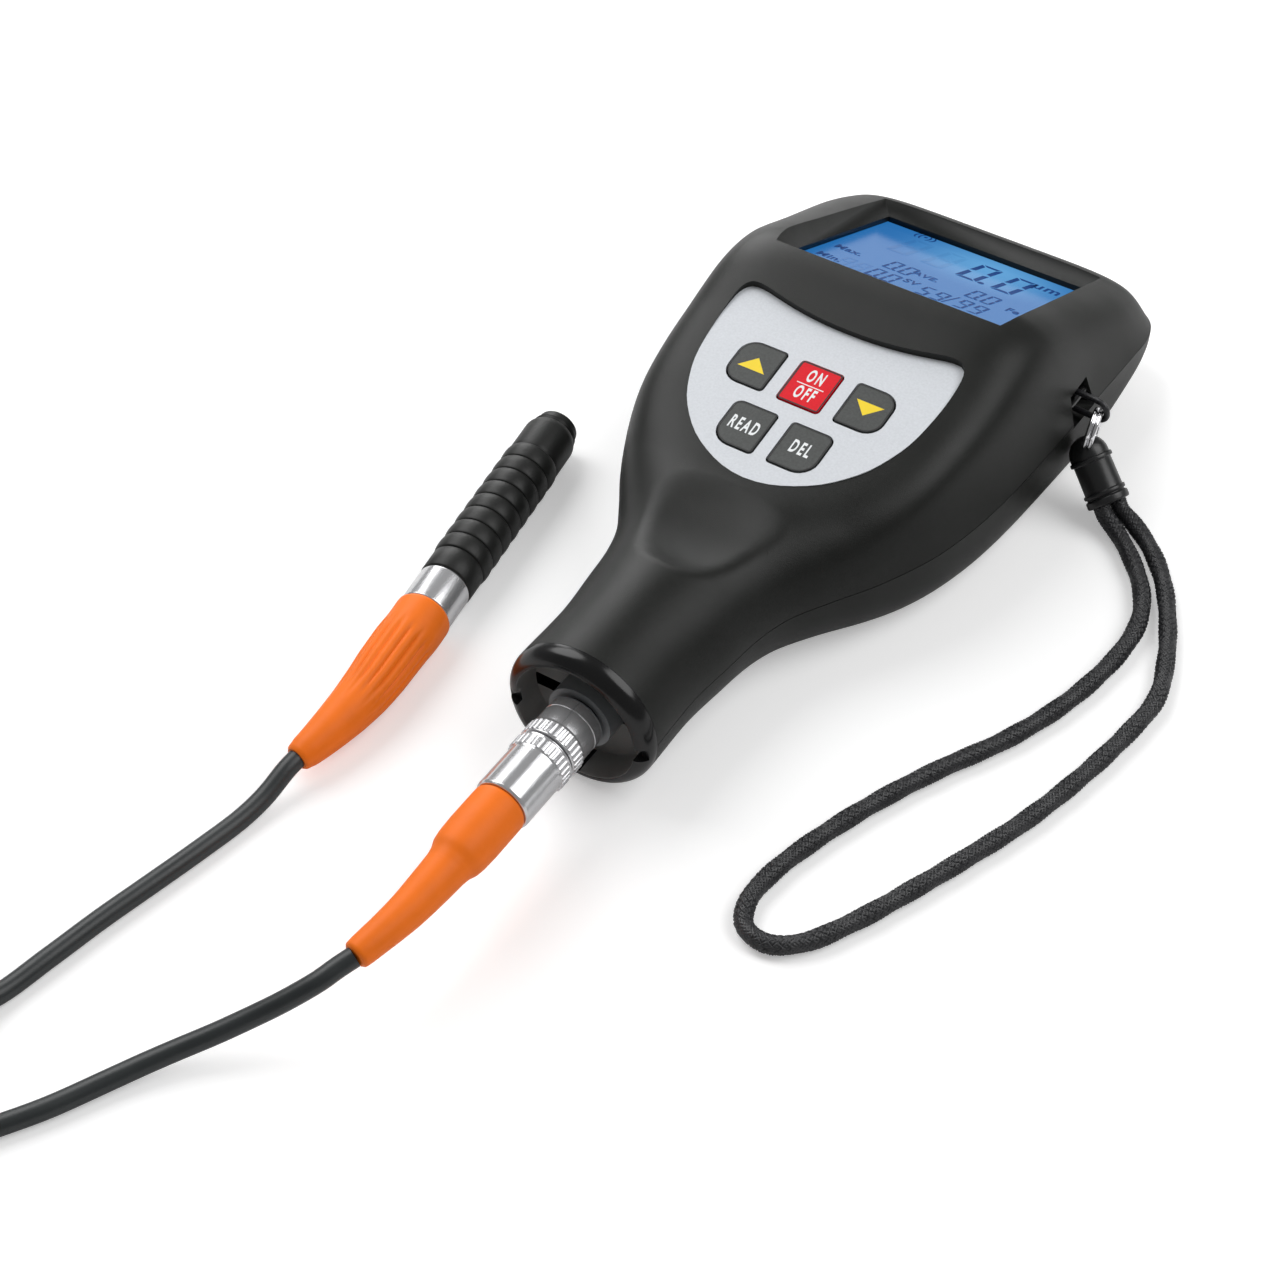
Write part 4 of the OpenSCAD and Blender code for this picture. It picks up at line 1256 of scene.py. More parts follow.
@dataclass
class Casing:
    """Both covers, drawn onto the true section curves, and the nose cap."""

    body_w: float = 64.0
    body_t: float = 32.5
    neck_d: float = 24.4
    length: float = 127.0
    edge: float = 1.1
    rounds: int = 8
    merge: float = 0.002
    on_skin: float = 0.06
    ease_reach: float = 1.5
    ease_full: float = 0.1
    seam_gap: float = 0.14
    seam_near: float = 0.03
    dent_blend: float = 1.0
    dent_station: float = 30.5
    dent_depth: float = 2.2
    dent_half: Triple = (20.0, 10.5, 4.2)
    dent_near: float = 0.12
    nose_l: float = 3.0
    nose_rim: float = 2.6
    nose_step: float = 1.3
    nose_back: float = -4.6
    nose_bore: float = 4.1
    cup_r: float = 10.0
    cup_floor: float = -2.2
    groove: Pair = (-1.9, 0.5)
    cad_stations: tuple[float, ...] = (
        0, 4, 8, 12, 16, 20, 23, 26, 29, 32, 35, 38, 41, 44, 47, 50, 53, 57, 61, 65, 69, 73, 77, 80,
        83, 85, 87, 90, 95, 100, 105, 109, 113, 117, 120, 122.5, 124.5, 126, 127)
    cad_steps: int = 18
    true_steps: int = 120
    plan: Table = ((0, 0), (10, -0.01), (18, 0.03), (25, 0.07), (31, 0.155), (37, 0.325),
                   (44, 0.54), (53, 0.75), (62, 0.87), (72, 0.94), (86, 0.985), (100, 1),
                   (110, 1), (117, 0.98), (122, 0.92), (125, 0.82), (127, 0.66))
    top: Table = ((0, 0), (12, -0.01), (24, -0.02), (34, -0.04), (42, -0.05), (46, 0.02), (54, 0.2),
                  (62, 0.4), (70, 0.62), (75, 0.81), (79, 0.95), (82.5, 1), (86, 0.97), (90, 0.84),
                  (100, 0.27), (112, -0.42), (121, -0.94), (124.5, -1.15), (126.2, -1.38),
                  (127, -1.75))
    base: Table = ((0, 0.1), (20, 0), (40, -0.9), (50, -1.8), (96, -1.8), (104, -0.5), (112, 1.9),
                   (120, 4.6), (125, 6.6), (127, 8))
    seam: Table = ((0, 0), (40, 0), (60, 0.4), (90, 1.2), (110, 0.2), (120, -1.8), (127, -3.2))
    lean: Table = ((0, 0), (30, 0), (50, 0.08), (70, 0.13), (86, 0.15), (100, 0.165), (127, 0.17))
    upper: Table = ((0, 2), (20, 2), (34, 2.4), (42, 3.6), (50, 5.6), (58, 7), (127, 6))
    lower: Table = ((0, 2), (20, 2.1), (36, 2.6), (50, 3.6), (64, 4.2), (85, 4.6), (110, 5.4),
                    (127, 4))

    @staticmethod
    def curve(table: Table, s: float) -> float:
        """Smooth value of a section table at a station.

        Args:
            table: station and value pairs.
            s: the station.

        Returns:
            The value there.
        """
        last = len(table) - 1
        i = 0
        while i < last - 1 and s >= table[i + 1][0]:
            i += 1

        def grade(k: int) -> float:
            """Slope of the curve at a pair."""
            a, b = table[max(k - 1, 0)], table[min(k + 1, last)]
            return (b[1] - a[1]) / (b[0] - a[0])

        h = table[i + 1][0] - table[i][0]
        u = (s - table[i][0]) / h
        return (table[i][1] * (1 + 2 * u) * (1 - u) ** 2 + grade(i) * h * u * (1 - u) ** 2
                + table[i + 1][1] * u * u * (3 - 2 * u) + grade(i + 1) * h * u * u * (u - 1))

    def half_width(self, s: float) -> float:
        """Half the casing's width at a station."""
        return self.neck_d / 2 + (self.body_w - self.neck_d) / 2 * self.curve(self.plan, s)

    def top_height(self, s: float) -> float:
        """Height of the casing's top line at a station."""
        neck = AXIS_Z + self.neck_d / 2
        return neck + (self.body_t - neck) * self.curve(self.top, s)

    def seam_height(self, s: float) -> float:
        """Height of the parting line at a station."""
        return AXIS_Z + self.curve(self.seam, s)

    def half_ring(self, s: float, front: bool, count: int) -> np.ndarray:
        """Half section of one cover.

        Args:
            s: the station.
            front: whether it is the front cover.
            count: steps along the section.

        Returns:
            Points from the right seam over to the left one.
        """
        n = self.curve(self.upper if front else self.lower, s)
        lean = self.curve(self.lean, s) if front else 0.0
        low = self.seam_height(s)
        high = self.top_height(s) if front else self.curve(self.base, s)
        a = np.linspace(0, math.pi, count + 1)
        rise = np.abs(np.sin(a)) ** (2 / n)
        x = self.half_width(s) * np.sign(np.cos(a)) * np.abs(np.cos(a)) ** (2 / n)
        y = np.full(count + 1, SEAM_Y + s)
        return np.stack([x * (1 - lean * rise), y, low + (high - low) * rise], 1)

    def skin(self, front: bool, stations: Sequence[float], count: int) -> Skin:
        """The outside of a cover as a skin over its sections.

        Args:
            front: whether it is the front cover.
            stations: where the sections stand.
            count: steps along each section.

        Returns:
            The skin.
        """
        rings = np.array([self.half_ring(float(s), front, count) for s in stations])
        if not front:
            rings = rings[:, ::-1]
        width = count + 1
        faces = []
        for a in (i * width + j for i in range(len(stations) - 1) for j in range(count)):
            faces += [(a, a + 1, a + 1 + width), (a, a + 1 + width, a + width)]
        out = np.cross(np.gradient(rings, axis=0), np.gradient(rings, axis=1))
        out /= np.maximum(np.linalg.norm(out, axis=2), 1e-9)[..., None]
        if (out[..., 2].mean() > 0) != front:
            out = -out
        points = rings.reshape(-1, 3)
        tree = BVHTree.FromPolygons(points.tolist(), faces)
        return Skin(tree, points, out.reshape(-1, 3), faces)

    def copied(self, node: str, front: bool, rough: Skin) -> bmesh.types.BMesh:
        """A copy of a cover in millimetres, with its outside split fine.

        Args:
            node: the CAD node.
            front: whether it is the front cover.
            rough: the CAD's own skin.

        Returns:
            The copy.
        """
        work = bmesh.new()
        work.from_mesh(frame["nodes"][node].data)
        bmesh.ops.scale(work, vec=(1 / MM,) * 3, verts=work.verts)
        bmesh.ops.remove_doubles(work, verts=work.verts, dist=self.merge)
        bmesh.ops.dissolve_degenerate(work, edges=work.edges, dist=self.merge)
        bmesh.ops.triangulate(work, faces=work.faces)

        def outer(vert: bmesh.types.BMVert) -> bool:
            """Whether a point lies on the outside, or in the thumb dent."""
            near = rough.tree.find_nearest(vert.co, self.on_skin)[0] is not None
            return near or front and self.in_dent(vert.co)

        for _ in range(self.rounds):
            long = [e for e in work.edges if e.calc_length() > self.edge
                    and outer(e.verts[0]) and outer(e.verts[1])]
            if not long:
                break
            bmesh.ops.subdivide_edges(work, edges=long, cuts=1)
            bmesh.ops.triangulate(work, faces=[f for f in work.faces if len(f.verts) > 3])
        return work

    def drawn(self, work: bmesh.types.BMesh, front: bool,
              rough: Skin) -> tuple[dict[int, Vector], set[int]]:
        """Draws a copy's outside onto the true curves, and the front cover off the seam.

        Args:
            work: the copy.
            front: whether it is the front cover.
            rough: the CAD's own skin.

        Returns:
            True normals of the points on the outside, and the points that the dent moved.
        """
        stations = np.concatenate([np.linspace(0, 120, 181), np.linspace(120.25, self.length, 28)])
        true = self.skin(front, stations, self.true_steps)
        work.verts.index_update()
        normals: dict[int, Vector] = {}
        soft: set[int] = set()
        for vert in work.verts:
            here = vert.co.copy()
            foot, _, _, gap = rough.tree.find_nearest(here, self.ease_reach)
            if foot is not None:
                near, normal = true.at(foot)
                ease = (self.ease_reach - gap) / (self.ease_reach - self.ease_full)
                vert.co = here + (near - foot) * min(1.0, ease)
                if gap < self.on_skin:
                    normals[vert.index] = normal
            if not front:
                if here.z < 1e-3:
                    vert.co.z = 0.0
                continue
            if self.scoop(vert, here, gap, true):
                soft.add(vert.index)
                normals.pop(vert.index, None)
            seam = self.seam_height(min(self.length, max(0.0, here.y - SEAM_Y)))
            if abs(here.z - seam) < self.seam_near:
                vert.co.z += self.seam_gap
        return normals, soft

    def cover(self, node: str, name: str, front: bool) -> Object:
        """A finer copy of a cover, its facets drawn onto the true curves and its edges kept.

        Args:
            node: the CAD node.
            name: the new piece's name.
            front: whether it is the front cover.

        Returns:
            The finer copy.
        """
        rough = self.skin(front, self.cad_stations, self.cad_steps)
        work = self.copied(node, front, rough)
        normals, soft = self.drawn(work, front, rough)
        bmesh.ops.scale(work, vec=(MM,) * 3, verts=work.verts)
        outside = {f.index for f in work.faces if all(v.index in normals for v in f.verts)}
        blended = {f.index for f in work.faces if any(v.index in soft for v in f.verts)}
        rims = [e.index for e in work.edges if len({f.index in outside for f in e.link_faces}) == 2
                and not any(f.index in blended for f in e.link_faces)]
        mesh = bpy.data.meshes.new(name)
        work.to_mesh(mesh)
        work.free()
        smooth(mesh, 32.0)
        for rim in rims:
            mesh.edges[rim].use_edge_sharp = True
        # slivers beside the openings take the true normals; a zero leaves a corner's own normal
        corner = [(0.0, 0.0, 0.0)] * len(mesh.loops)
        for face in outside:
            poly = mesh.polygons[face]
            for loop, vert in zip(poly.loop_indices, poly.vertices):
                corner[loop] = tuple(normals[vert])
        mesh.normals_split_custom_set(corner)
        return link(name, mesh)

    def dent_height(self, place: Vector) -> float:
        """Height of the thumb dent's surface.

        Args:
            place: the place it is wanted for.

        Returns:
            The height over or under the place, or infinity where there is no dent.
        """
        a, b, c = self.dent_half
        u, v = place.x / a, (place.y - SEAM_Y - self.dent_station) / b
        if u * u + v * v >= 0.99 or place.z < AXIS_Z + 2:
            return math.inf
        low = self.top_height(self.dent_station) - self.dent_depth
        return low + c - c * math.sqrt(1 - u * u - v * v)

    def in_dent(self, place: Vector) -> bool:
        """Whether a place lies on the thumb dent's surface."""
        return abs(place.z - self.dent_height(place)) < self.dent_near

    def scoop(self, vert: bmesh.types.BMVert, here: Vector, gap: float | None, true: Skin) -> bool:
        """Blends the thumb dent softly into the top.

        Args:
            vert: a point of the front cover.
            here: where the point stood in the CAD.
            gap: its distance from the CAD's skin, if near.
            true: the true skin.

        Returns:
            Whether the dent moved the point.
        """
        dent = self.dent_height(here)
        inside = gap is None or gap > self.on_skin
        if dent == math.inf or inside and not self.in_dent(here):
            return False
        above = Vector((here.x, here.y, 2 * self.body_t))
        skin = true.tree.ray_cast(above, Vector((0, 0, -1)))[0].z
        if dent - skin > self.dent_blend:
            return False
        near = max(self.dent_blend - abs(skin - dent), 0.0) / self.dent_blend
        height = min(skin, dent) - near * near * self.dent_blend / 4
        vert.co = Vector((here.x, here.y, height))
        return True

    def nose(self) -> Object:
        """The glossy nose cap: rounded rim, cup with a matt floor partly painted light, groove
        across both.

        Returns:
            The nose cap.
        """
        r, rim, cup, floor = self.neck_d / 2, self.nose_rim, self.cup_r, self.cup_floor
        back, bore, step = self.nose_back, self.nose_bore, r - self.nose_step
        arc = [(r - rim + rim * math.cos(a), self.nose_l - rim + rim * math.sin(a))
               for a in np.linspace(0, 1.36, 16)]
        outline = [(bore, back), (step, back), (step, 0.0), (r - 0.06, 0.0), (r, 0.06), *arc,
                   (cup + 0.1, self.nose_l - 0.1), (cup, self.nose_l - 0.25), (cup, floor + 0.3),
                   (cup - 0.1, floor + 0.08), (cup - 0.3, floor), (bore, floor), (bore, back)]
        obj = dress(revolve("nose_ring", outline, PLUG_AXIS, 128, 30.0), Coat.GLOSS)
        low, high = (AXIS_Z + z for z in self.groove)
        obj = carved(obj, [
            box("rim_groove", (-20, SEAM_Y - 5, low), (20, SEAM_Y - 1.6, high)),
            box("floor_groove", (-cup, SEAM_Y + 2.1, low), (cup, SEAM_Y + 3.8, high))])
        # the cup's faces take a matt grey made lighter than the plastic's own tone, painted light
        # where the rim shades the cup
        obj.data.materials.append(Coat.CUP_GREY_PAINTED_LIGHT.get())
        for face in obj.data.polygons:
            x, y, z = face.center / MM
            out = math.hypot(x, z - AXIS_Z)
            in_cup = SEAM_Y - y > floor - 0.1 and bore + 0.1 < out < cup + 0.05
            if in_cup and abs(face.normal.z) < 0.999:
                face.material_index = 1
        smooth(obj.data, 30.0)
        return obj

    def build(self) -> None:
        """Makes both covers and the nose cap."""
        for side in ("front", "rear"):
            cover = self.cover(f"{side}_cover", f"{side}_casing", side == "front")
            settle_in(dress(cover, Coat.CASING), GAUGE, "casing", f"{side}_cover")
        settle_in(self.nose(), GAUGE, "gloss_black", "nose_cap")


# keys


@dataclass(frozen=True)
class Key:
    """One key: its place, corner radii from the lower left round, and what it says or points at."""

    node: str
    middle: Pair
    radii: tuple[float, float, float, float]
    lines: tuple[str, ...] = ()
    arrow: int = 0
    coat: Coat = Coat.KEY_GREY
    slot: str = "key_grey"


@dataclass
class Keypad:
    """The printed key field with its five keys."""

    key_w: float = 7.0
    key_h: float = 8.1
    print_z: float = 0.162
    line: float = 0.22
    letter: float = 2.35
    line_step: float = 3.5
    bar_half: Pair = (2.3, 0.09)
    arrow_half: float = 2.35
    arrow_ends: Pair = (-1.2, 1.35)
    place: Matrix = field(default_factory=lambda: tilted((0.0, -0.2, 27.38), 9.6))
    lettering: Lettering = Lettering(narrow=0.46, space=1.4)
    keys: tuple[Key, ...] = (
        Key("key_up", (-9.8, 0), (2.6, 0.5, 0.5, 2.6), arrow=1),
        Key("key_power", (0, 0), (0.5, 0.5, 0.5, 0.5), ("ON", "OFF"), 0, Coat.KEY_RED, "key_red"),
        Key("key_down", (9.8, 0), (0.5, 2.6, 2.6, 0.5), arrow=-1),
        Key("key_read", (-4.9, -11.25), (3, 0.5, 0.5, 1.2), ("READ",)),
        Key("key_delete", (4.9, -11.25), (0.5, 3, 1.2, 0.5), ("DEL",)))

    def pad(self, key: Key, grow: float) -> list[Pair]:
        """Outline of a key.

        Args:
            key: the key.
            grow: how far outside the key the outline runs.

        Returns:
            Outline corners.
        """
        out = []
        corners = ((-1, -1, 180), (1, -1, 270), (1, 1, 0), (-1, 1, 90))
        for (sx, sy, first), r in zip(corners, key.radii):
            q = max(0.05, r + grow)
            x = key.middle[0] + sx * (self.key_w / 2 + grow - q)
            y = key.middle[1] + sy * (self.key_h / 2 + grow - q)
            out += [(x + q * math.cos(t), y + q * math.sin(t))
                    for t in np.radians(np.arange(first, first + 91, 10))]
        return out

    def outline(self, key: Key) -> Object:
        """The printed line round a key.

        Args:
            key: the key.

        Returns:
            The line.
        """
        outer, inner = self.pad(key, 0.0), self.pad(key, -self.line)
        count = len(outer)
        points = np.array([(x, y, self.print_z) for x, y in outer + inner])
        faces = [[j, (j + 1) % count, count + (j + 1) % count, count + j] for j in range(count)]
        return dress(make("line", placed(points, self.place), faces, close=False), Coat.INK_BLACK)

    def mark(self, outline: Table, coat: Coat) -> Object:
        """A flat printed shape."""
        low = self.print_z - INK
        return dress(plate("mark", outline, low, self.print_z, self.place), coat)

    def build(self) -> None:
        """Dresses the sheet and the keys and prints them."""
        dress_nodes({"keypad_sheet": Coat.FILM})
        for key in self.keys:
            dress_nodes({key.node: key.coat})
            x, y = key.middle
            parts = [self.outline(key)]
            if key.arrow:
                back, tip = (y + key.arrow * end for end in self.arrow_ends)
                parts.append(self.mark([(x - self.arrow_half, back), (x + self.arrow_half, back),
                                        (x, tip)], Coat.INK_YELLOW))
            for row, text in enumerate(key.lines):
                up = ((len(key.lines) - 1) / 2 - row) * self.line_step
                word = self.lettering.write(text, self.letter, (x, y + up), self.place,
                                            self.print_z)
                parts.append(dress(word, Coat.INK_WHITE))
            if len(key.lines) == 2:
                w, h = self.bar_half
                parts.append(self.mark([(x - w, y - h), (x + w, y - h), (x + w, y + h),
                                        (x - w, y + h)], Coat.INK_WHITE))
            settle_in(join(f"{key.node}_print", parts), key.node, key.slot)


# display


@dataclass(frozen=True)
class Figure:
    """Size of a seven-segment figure and the step to the next one."""

    wide: float
    tall: float
    step: float
    stroke: float = 0.25
    gap: float = 0.04
    lean: float = 0.06

    SEGMENTS = {"0": "abcdef", "5": "acdfg", "8": "abcdefg", "9": "abcdfg"}

    def dot(self, x: float, y: float) -> list[Pair]:
        """Outline of the point before a figure that starts at x."""
        r, middle = 0.15 * self.wide, x - 0.7 * (self.step - self.wide)
        return [(middle + r * math.cos(a), y + r + r * math.sin(a))
                for a in np.linspace(0, 2 * math.pi, 16, endpoint=False)]

    def segments(self, shown: str, x: float, y: float) -> list[list[Pair]]:
        """Outlines of the lit segments of a figure.

        Args:
            shown: the figure.
            x: its left edge.
            y: its foot.

        Returns:
            One outline for each segment.
        """
        wide, tall, h = self.wide, self.tall, self.tall / 2
        t = self.stroke * wide
        foot = [(t * 0.15, 0), (t, t), (wide - t, t), (wide - t * 0.15, 0)]
        left_low = [(0, h - t * 0.1), (t, h - t * 0.6), (t, t), (0, t * 0.15)]
        middle = [(t * 0.6, h), (t * 1.2, h + t / 2), (wide - t * 1.2, h + t / 2),
                  (wide - t * 0.6, h), (wide - t * 1.2, h - t / 2), (t * 1.2, h - t / 2)]

        def flipped(points: list[Pair]) -> list[Pair]:
            """The same shape upside down."""
            return [(px, tall - py) for px, py in reversed(points)]

        def mirrored(points: list[Pair]) -> list[Pair]:
            """The same shape on the other side."""
            return [(wide - px, py) for px, py in reversed(points)]

        shapes = {"a": flipped(foot), "b": mirrored(flipped(left_low)), "c": mirrored(left_low),
                  "d": foot, "e": left_low, "f": flipped(left_low), "g": middle}
        out = []
        for shape in (np.array(shapes[s]) for s in self.SEGMENTS[shown]):
            inward = shape.mean(axis=0) - shape
            shape = shape + inward / np.linalg.norm(inward, axis=1)[:, None] * self.gap * wide
            out.append([(x + px + self.lean * py, y + py) for px, py in shape])
        return out


@dataclass
class Display:
    """The back-lit display with its lit and idle segments."""

    place: Matrix = field(default_factory=lambda: tilted((0.0, 57.7, 13.78), -23.8))
    lit: float = 0.03
    idle: float = 0.018
    big: Figure = Figure(3.9, 10.8, 6.4)
    small: Figure = Figure(1.95, 5.2, 2.75)
    close: Figure = Figure(1.95, 5.2, 2.6)
    slash: Table = ((6.2, -30.6), (6.5, -30.6), (7.4, -25.2), (7.1, -25.2))
    lettering: Lettering = Lettering(narrow=0.75, space=1.1)
    signs: tuple[tuple[str, float, Pair], ...] = (
        ("µm", 3.3, (14.0, -4.6)), ("AVE.", 1.9, (-0.6, -21.4)), ("SV", 2.1, (-0.8, -26.8)),
        ("Fe", 2.1, (15.3, -22.2)), ("Max.", 2.2, (-14.3, -22.6)), ("Min.", 2.2, (-14.5, -29.4)),
        ("((•))", 2.0, (-10.3, -0.9)))

    def segment(self, outline: Table, coat: Coat) -> Object:
        """One segment, lit or idle."""
        lift = self.idle if coat is Coat.INK_GHOST else self.lit
        return dress(plate("segment", outline, lift - INK, lift, self.place), coat)

    def reading(self, text: str, corner: Pair, figure: Figure,
                coat: Coat = Coat.INK_BLUE) -> list[Object]:
        """A row of figures, with its points.

        Args:
            text: figures and points.
            corner: lower left corner of the first figure.
            figure: the figures' size.
            coat: the segments' finish.

        Returns:
            All its segments.
        """
        outlines, (x, y) = [], corner
        for mark in text:
            if mark == ".":
                outlines.append(figure.dot(x, y))
                continue
            outlines += figure.segments(mark, x, y)
            x += figure.step
        return [self.segment(outline, coat) for outline in outlines]

    def build(self) -> None:
        """Lights the display and sets its figures and words."""
        dress_nodes({"display_window": Coat.GLOW, "lcd_panel": Coat.GLOW, "backlight": Coat.LIGHT,
                     "main_board": Coat.BOARD, "board_chips": Coat.CHIP, "key_board": Coat.BOARD,
                     "key_domes": Coat.STEEL})
        parts = []
        for row in (("0.0", (1.3, -14.6), self.big), ("0.0", (-7.5, -24.4), self.small),
                    ("0.0", (-7.5, -31.2), self.small), ("59", (1.4, -31.0), self.close),
                    ("99", (7.9, -30.4), self.close), ("0.0", (7.0, -23.6), self.small),
                    ("88", (-11.5, -14.6), self.big, Coat.INK_GHOST),
                    ("88", (-13.0, -31.2), self.small, Coat.INK_GHOST)):
            parts += self.reading(*row)
        parts.append(self.segment(self.slash, Coat.INK_BLUE))
        for text, height, middle in self.signs:
            sign = self.lettering.write(text, height, middle, self.place, self.lit)
            parts.append(dress(sign, Coat.INK_BLUE))
        settle_in(join("display_figures", parts), GAUGE, "lcd")


# plug, probe and underside


PLUG_AXIS = tilted((0, SEAM_Y, AXIS_Z), 90)


def boot(name: str, path: Sequence[Triple], radius: float, start: Table, end: Table, sides: int,
         flute: Callable[[np.ndarray, np.ndarray], np.ndarray] | None = None) -> Object:
    """Sweeps an orange boot that tapers to the cable.

    Args:
        name: the object's name.
        path: its centreline, with Y measured from the seam.
        radius: its full radius.
        start: distance from its start and share of the radius there.
        end: distance from its end and share of the radius there.
        sides: points round the section.
        flute: how much is taken off the radius at a distance along and an angle.

    Returns:
        The boot.
    """
    line = smooth_path([(x, y + SEAM_Y, z) for x, y, z in path], 0.35)
    total = length_of(line)
    at = [d for d, _ in start] + [total - d for d, _ in end]
    share = [part for _, part in (*start, *end)]
    obj = tube(name, line, lambda along: radius * np.interp(along, at, share), sides, flute)
    return dress(obj, Coat.ORANGE)


@dataclass
class Plug:
    """Turning ring, body and boot of the plug, and the socket round it."""

    sleeve: float = 4.4
    knurl: float = 4.75
    sunk: float = 0.22
    teeth: int = 30
    tooth: float = 0.36
    boot_r: float = 4.15

    def knurled(self, obj: Object, tree: Tree, middle: float, length: float) -> Object:
        """Sets a band of teeth on a sleeve.

        Args:
            obj: the sleeve.
            tree: the tree that sets them.
            middle: distance of the band's middle from the seam.
            length: the teeth's length.

        Returns:
            The sleeve with its teeth.
        """
        return tree.run(obj, {"Count": self.teeth, "Radius": (self.knurl - self.tooth) * MM,
                              "Tooth": self.tooth * MM, "Length": length * MM,
                              "Along": (SEAM_Y - middle) * MM, "Height": AXIS_Z * MM,
                              "Material": Coat.NICKEL.get()})

    def ring(self) -> Object:
        """The turning ring with its fine line, before it is knurled.

        Returns:
            The ring.
        """
        r, band = self.sleeve, self.knurl - self.sunk
        return revolve("plug_coupling", rounded([
            (3.3, 1.8, 0), (3.9, 1.8, 0.1), (r, 2.2, 0.25), (r, 4.0, 0.0), (r - 0.1, 4.06, 0.02),
            (r - 0.1, 4.16, 0.02), (r, 4.22, 0.02), (r, 7.0, 0.1), (band, 7.35, 0.1),
            (band, 9.6, 0.1), (self.knurl - 0.35, 9.8, 0.05), (3.3, 9.8, 0)]), PLUG_AXIS)

    def body(self) -> Object:
        """The plug's body, before it is knurled.

        Returns:
            The body.
        """
        r, band = self.sleeve, self.knurl - self.sunk
        return revolve("plug_barrel", rounded([
            (0, 10.2, 0), (self.knurl - 0.1, 10.2, 0.15), (band, 10.55, 0.1), (band, 12.5, 0.1),
            (r, 12.8, 0.15), (r, 20.4, 0.1), (r - 0.2, 20.8, 0.1), (0, 20.8, 0)]), PLUG_AXIS)

    def boot(self) -> Object:
        """The orange boot, stepped and tapered to the cable.

        Returns:
            The boot.
        """
        path = [(0, -20.85, 0), (0, -24, 0), (0, -28, 0), (0, -30.4, 0), (0, -32, -0.05),
                (0, -33.4, -0.1), (-0.05, -37, -0.15), (-0.3, -42, -0.3), (-0.8, -46, -0.4),
                (-1.3, -49, -0.5), (-1.8, -51.6, -0.7)]
        start = ((0, 0.93), (0.25, 0.985), (0.8, 1), (6.5, 1), (9.0, 0.975), (10.4, 0.93),
                 (11.6, 0.815), (12.8, 0.765), (17, 0.71), (22, 0.635), (26, 0.575), (29.4, 0.53))
        end = ((0.5, 0.505), (0.12, 0.48), (0, 0.4))
        path = [(x, y, AXIS_Z + z) for x, y, z in path]
        return boot("plug_sleeve_boot", path, self.boot_r, start, end, 48)

    def build(self) -> list[Object]:
        """Makes the plug and dresses the socket.

        Returns:
            The pieces that go with the cable.
        """
        tree = knurl_tree()
        ring = self.knurled(self.ring(), tree, 8.5, 2.0)
        settle_in(ring, "plug_ring", "chrome", "plug_ring")
        body = self.knurled(self.body(), tree, 11.6, 1.8)
        settle_in(body, GAUGE, "chrome", "plug_body")
        sleeve = settle_in(self.boot(), GAUGE, "orange", "plug_boot")
        dress_nodes({"socket_boss": Coat.SOCKET, "socket_shell": Coat.CHROME,
                     "socket_insert": Coat.CHIP, "socket_nut": Coat.STEEL,
                     "plug_core": Coat.STEEL})
        return [ring, body, sleeve, frame["nodes"]["plug_core"]]


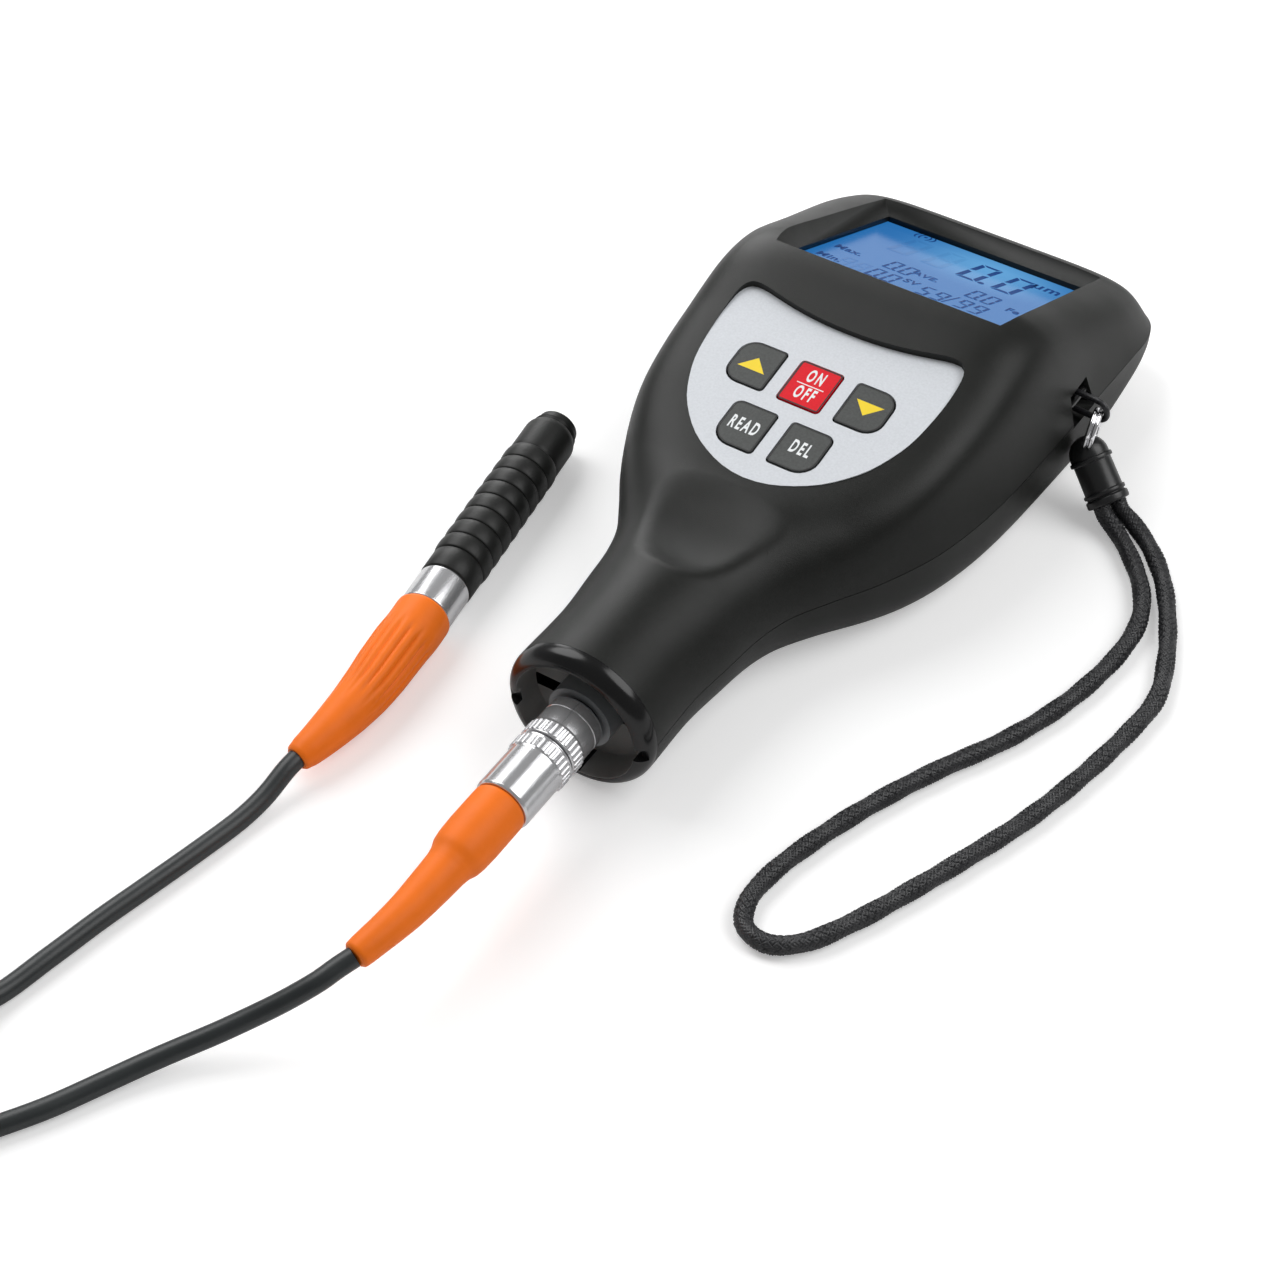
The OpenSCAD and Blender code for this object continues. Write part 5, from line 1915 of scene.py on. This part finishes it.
@dataclass
class Probe:
    """The hand probe: fluted boot, collar, ribbed grip and sprung tip."""

    start: Triple = (-35.4, 8.9, 4.65)
    yaw: float = 8.4
    collar_l: float = 6.8
    collar_in: float = 0.35
    grip_r: float = 4.6
    grip_l: float = 38.0
    plain_in: float = 0.25
    plain_end: float = 8.0
    shoulder: float = 2.2
    ribs: int = 8
    rib_start: float = 4.4
    rib_depth: float = 0.45
    rib_steps: tuple[float, ...] = (0, 0.03, 0.07, 0.13, 0.22, 0.35, 0.5, 0.65, 0.78, 0.87, 0.93,
                                    0.97)
    bore_depths: Pair = (5.0, 20.0)
    stem_bore: float = 2.4
    tip_r: float = 3.4
    tip_gap: float = 0.3
    tip_out: float = 1.6
    boot_r: float = 4.5
    flutes: int = 8
    flute_depth: float = 0.34

    def place(self) -> Matrix:
        """A frame on the probe's axis, Z toward the tip."""
        x, y, z = self.start
        return tilted((x, y + SEAM_Y, z), self.yaw, "Z") @ tilted((0, 0, 0), -90)

    def collar(self) -> Object:
        """The chrome collar.

        Returns:
            The collar.
        """
        r, end = self.grip_r - self.collar_in, self.collar_l
        return revolve("probe_band", rounded([
            (0, 0.02, 0), (r - 0.15, 0.02, 0.1), (r, 0.2, 0.1), (r, end - 0.3, 0.2),
            (r - 0.3, end, 0.15), (0, end, 0)]), self.place())

    def grip(self) -> Object:
        """The ribbed grip: plain start, bulging ribs, plain end with a shoulder, the tip's bore.

        Returns:
            The grip.
        """
        r, plain, bore = self.grip_r, self.grip_r - self.plain_in, self.tip_r + self.tip_gap
        low, high = self.collar_l, self.collar_l + self.grip_l
        first, last = low + self.rib_start, high - self.plain_end
        step, valley = (last - first) / self.ribs, r - self.rib_depth
        ribs = [(r - self.rib_depth * (1 - math.sin(math.pi * u) ** 0.35), first + step * (k + u))
                for k in range(self.ribs) for u in self.rib_steps]
        end = [(plain - self.shoulder * (1 - math.cos(a)), high - self.shoulder * (1 - math.sin(a)))
               for a in np.linspace(0, 1.2, 9)]
        seat, floor = (high - depth for depth in self.bore_depths)
        outline = [(0.0, low + 0.02), (plain - 0.15, low + 0.02), (plain, low + 0.2),
                   (plain, first - 0.3), *ribs, (valley, last), (plain - 0.05, last + 0.4),
                   (plain, last + 0.8), *end, (bore + 0.08, high), (bore, high - 0.1),
                   (bore, seat), (self.stem_bore, seat), (self.stem_bore, floor), (0.0, floor)]
        return dress(revolve("probe_ribbed_grip", outline, self.place(), 72, 55.0), Coat.GRIP)

    def flute(self, along: np.ndarray, turn: np.ndarray) -> np.ndarray:
        """Depth of the boot's flutes.

        Args:
            along: distance from the collar.
            turn: angle round the boot.

        Returns:
            The depth, which fades out at both ends.
        """
        window = np.clip((along - 4.5) / 3.0, 0, 1) * np.clip((22.0 - along) / 6.0, 0, 1)
        return self.flute_depth * window * (np.cos(turn * self.flutes) ** 2) ** 3

    def boot(self) -> Object:
        """The orange boot with flutes on its sides.

        Returns:
            The boot.
        """
        x, y, z = self.start
        yaw, straight = math.radians(self.yaw), 4
        path = [(x, y, z), (x + straight * math.sin(yaw), y - straight * math.cos(yaw), z),
                (-34.6, 2, 4.65), (-34, -3, 4.6), (-33.5, -7.5, 4.5), (-33.3, -12, 4.4),
                (-33.4, -16, 4.3), (-33.7, -20, 4.15), (-34.2, -23.8, 4)]
        start = ((0, 0.93), (0.3, 0.985), (0.9, 1), (8, 0.99), (13, 0.96), (18, 0.88), (23, 0.77),
                 (27, 0.67), (31, 0.56))
        end = ((0.5, 0.485), (0.1, 0.46), (0, 0.4))
        return boot("probe_fluted_boot", path, self.boot_r, start, end, 96, self.flute)

    def tip(self) -> Object:
        """The sprung tip with its rounded nose.

        Returns:
            The tip.
        """
        r, high = self.tip_r, self.collar_l + self.grip_l
        back, flange, out = high - 11, high - 3.2, high + self.tip_out
        outline = [(0, back, 0), (2.1, back, 0.1), (2.1, flange, 0), (r, flange, 0.1),
                   (r, out, 0.35), (r - 1.1, out, 0.1), (r - 1.3, out - 0.25, 0.1),
                   (1.1, out - 0.25, 0.1), (0.9, out, 0.2), (0, out, 0)]
        return dress(revolve("probe_nose", rounded(outline), self.place(), 72), Coat.GRIP)

    def build(self) -> list[Object]:
        """Makes the probe.

        Returns:
            The pieces that go with the cable.
        """
        collar = dress(self.collar(), Coat.NICKEL)
        pieces = [settle_in(collar, GAUGE, "chrome", "probe_collar"),
                  settle_in(self.grip(), GAUGE, "grip", "probe_grip"),
                  settle_in(self.boot(), GAUGE, "orange", "probe_boot"),
                  settle_in(self.tip(), "probe_tip", "grip", "probe_tip")]
        dress_nodes({"probe_spring": Coat.STEEL})
        return [*pieces, frame["nodes"]["probe_spring"]]


@dataclass
class Underside:
    """Battery door, cells, contacts, screws and the strap's small parts, shaped as in the CAD."""

    cells: int = 4

    def build(self) -> None:
        """Dresses the CAD pieces."""
        dress_nodes({"battery_door": Coat.CASING, "cell_springs": Coat.STEEL,
                     "cell_contacts": Coat.STEEL, "case_screws": Coat.STEEL,
                     "strap_lug": Coat.GLOSS, "strap_loop": Coat.BRAID, "strap_ring": Coat.CHROME})
        dress_nodes({f"cell_{i + 1}": Coat.CELL for i in range(self.cells)})


def main() -> None:
    """Builds the scene in order."""
    logging.basicConfig(level=logging.INFO, format="%(name)s: %(message)s")
    Stage().build()
    casing = Casing()
    ends = Plug().build() + Probe().build()
    ProbeCable(ends).build()
    WristStrap().build(casing)
    casing.build()
    Keypad().build()
    Display().build()
    Underside().build()


if __name__ == "__main__":
    main()
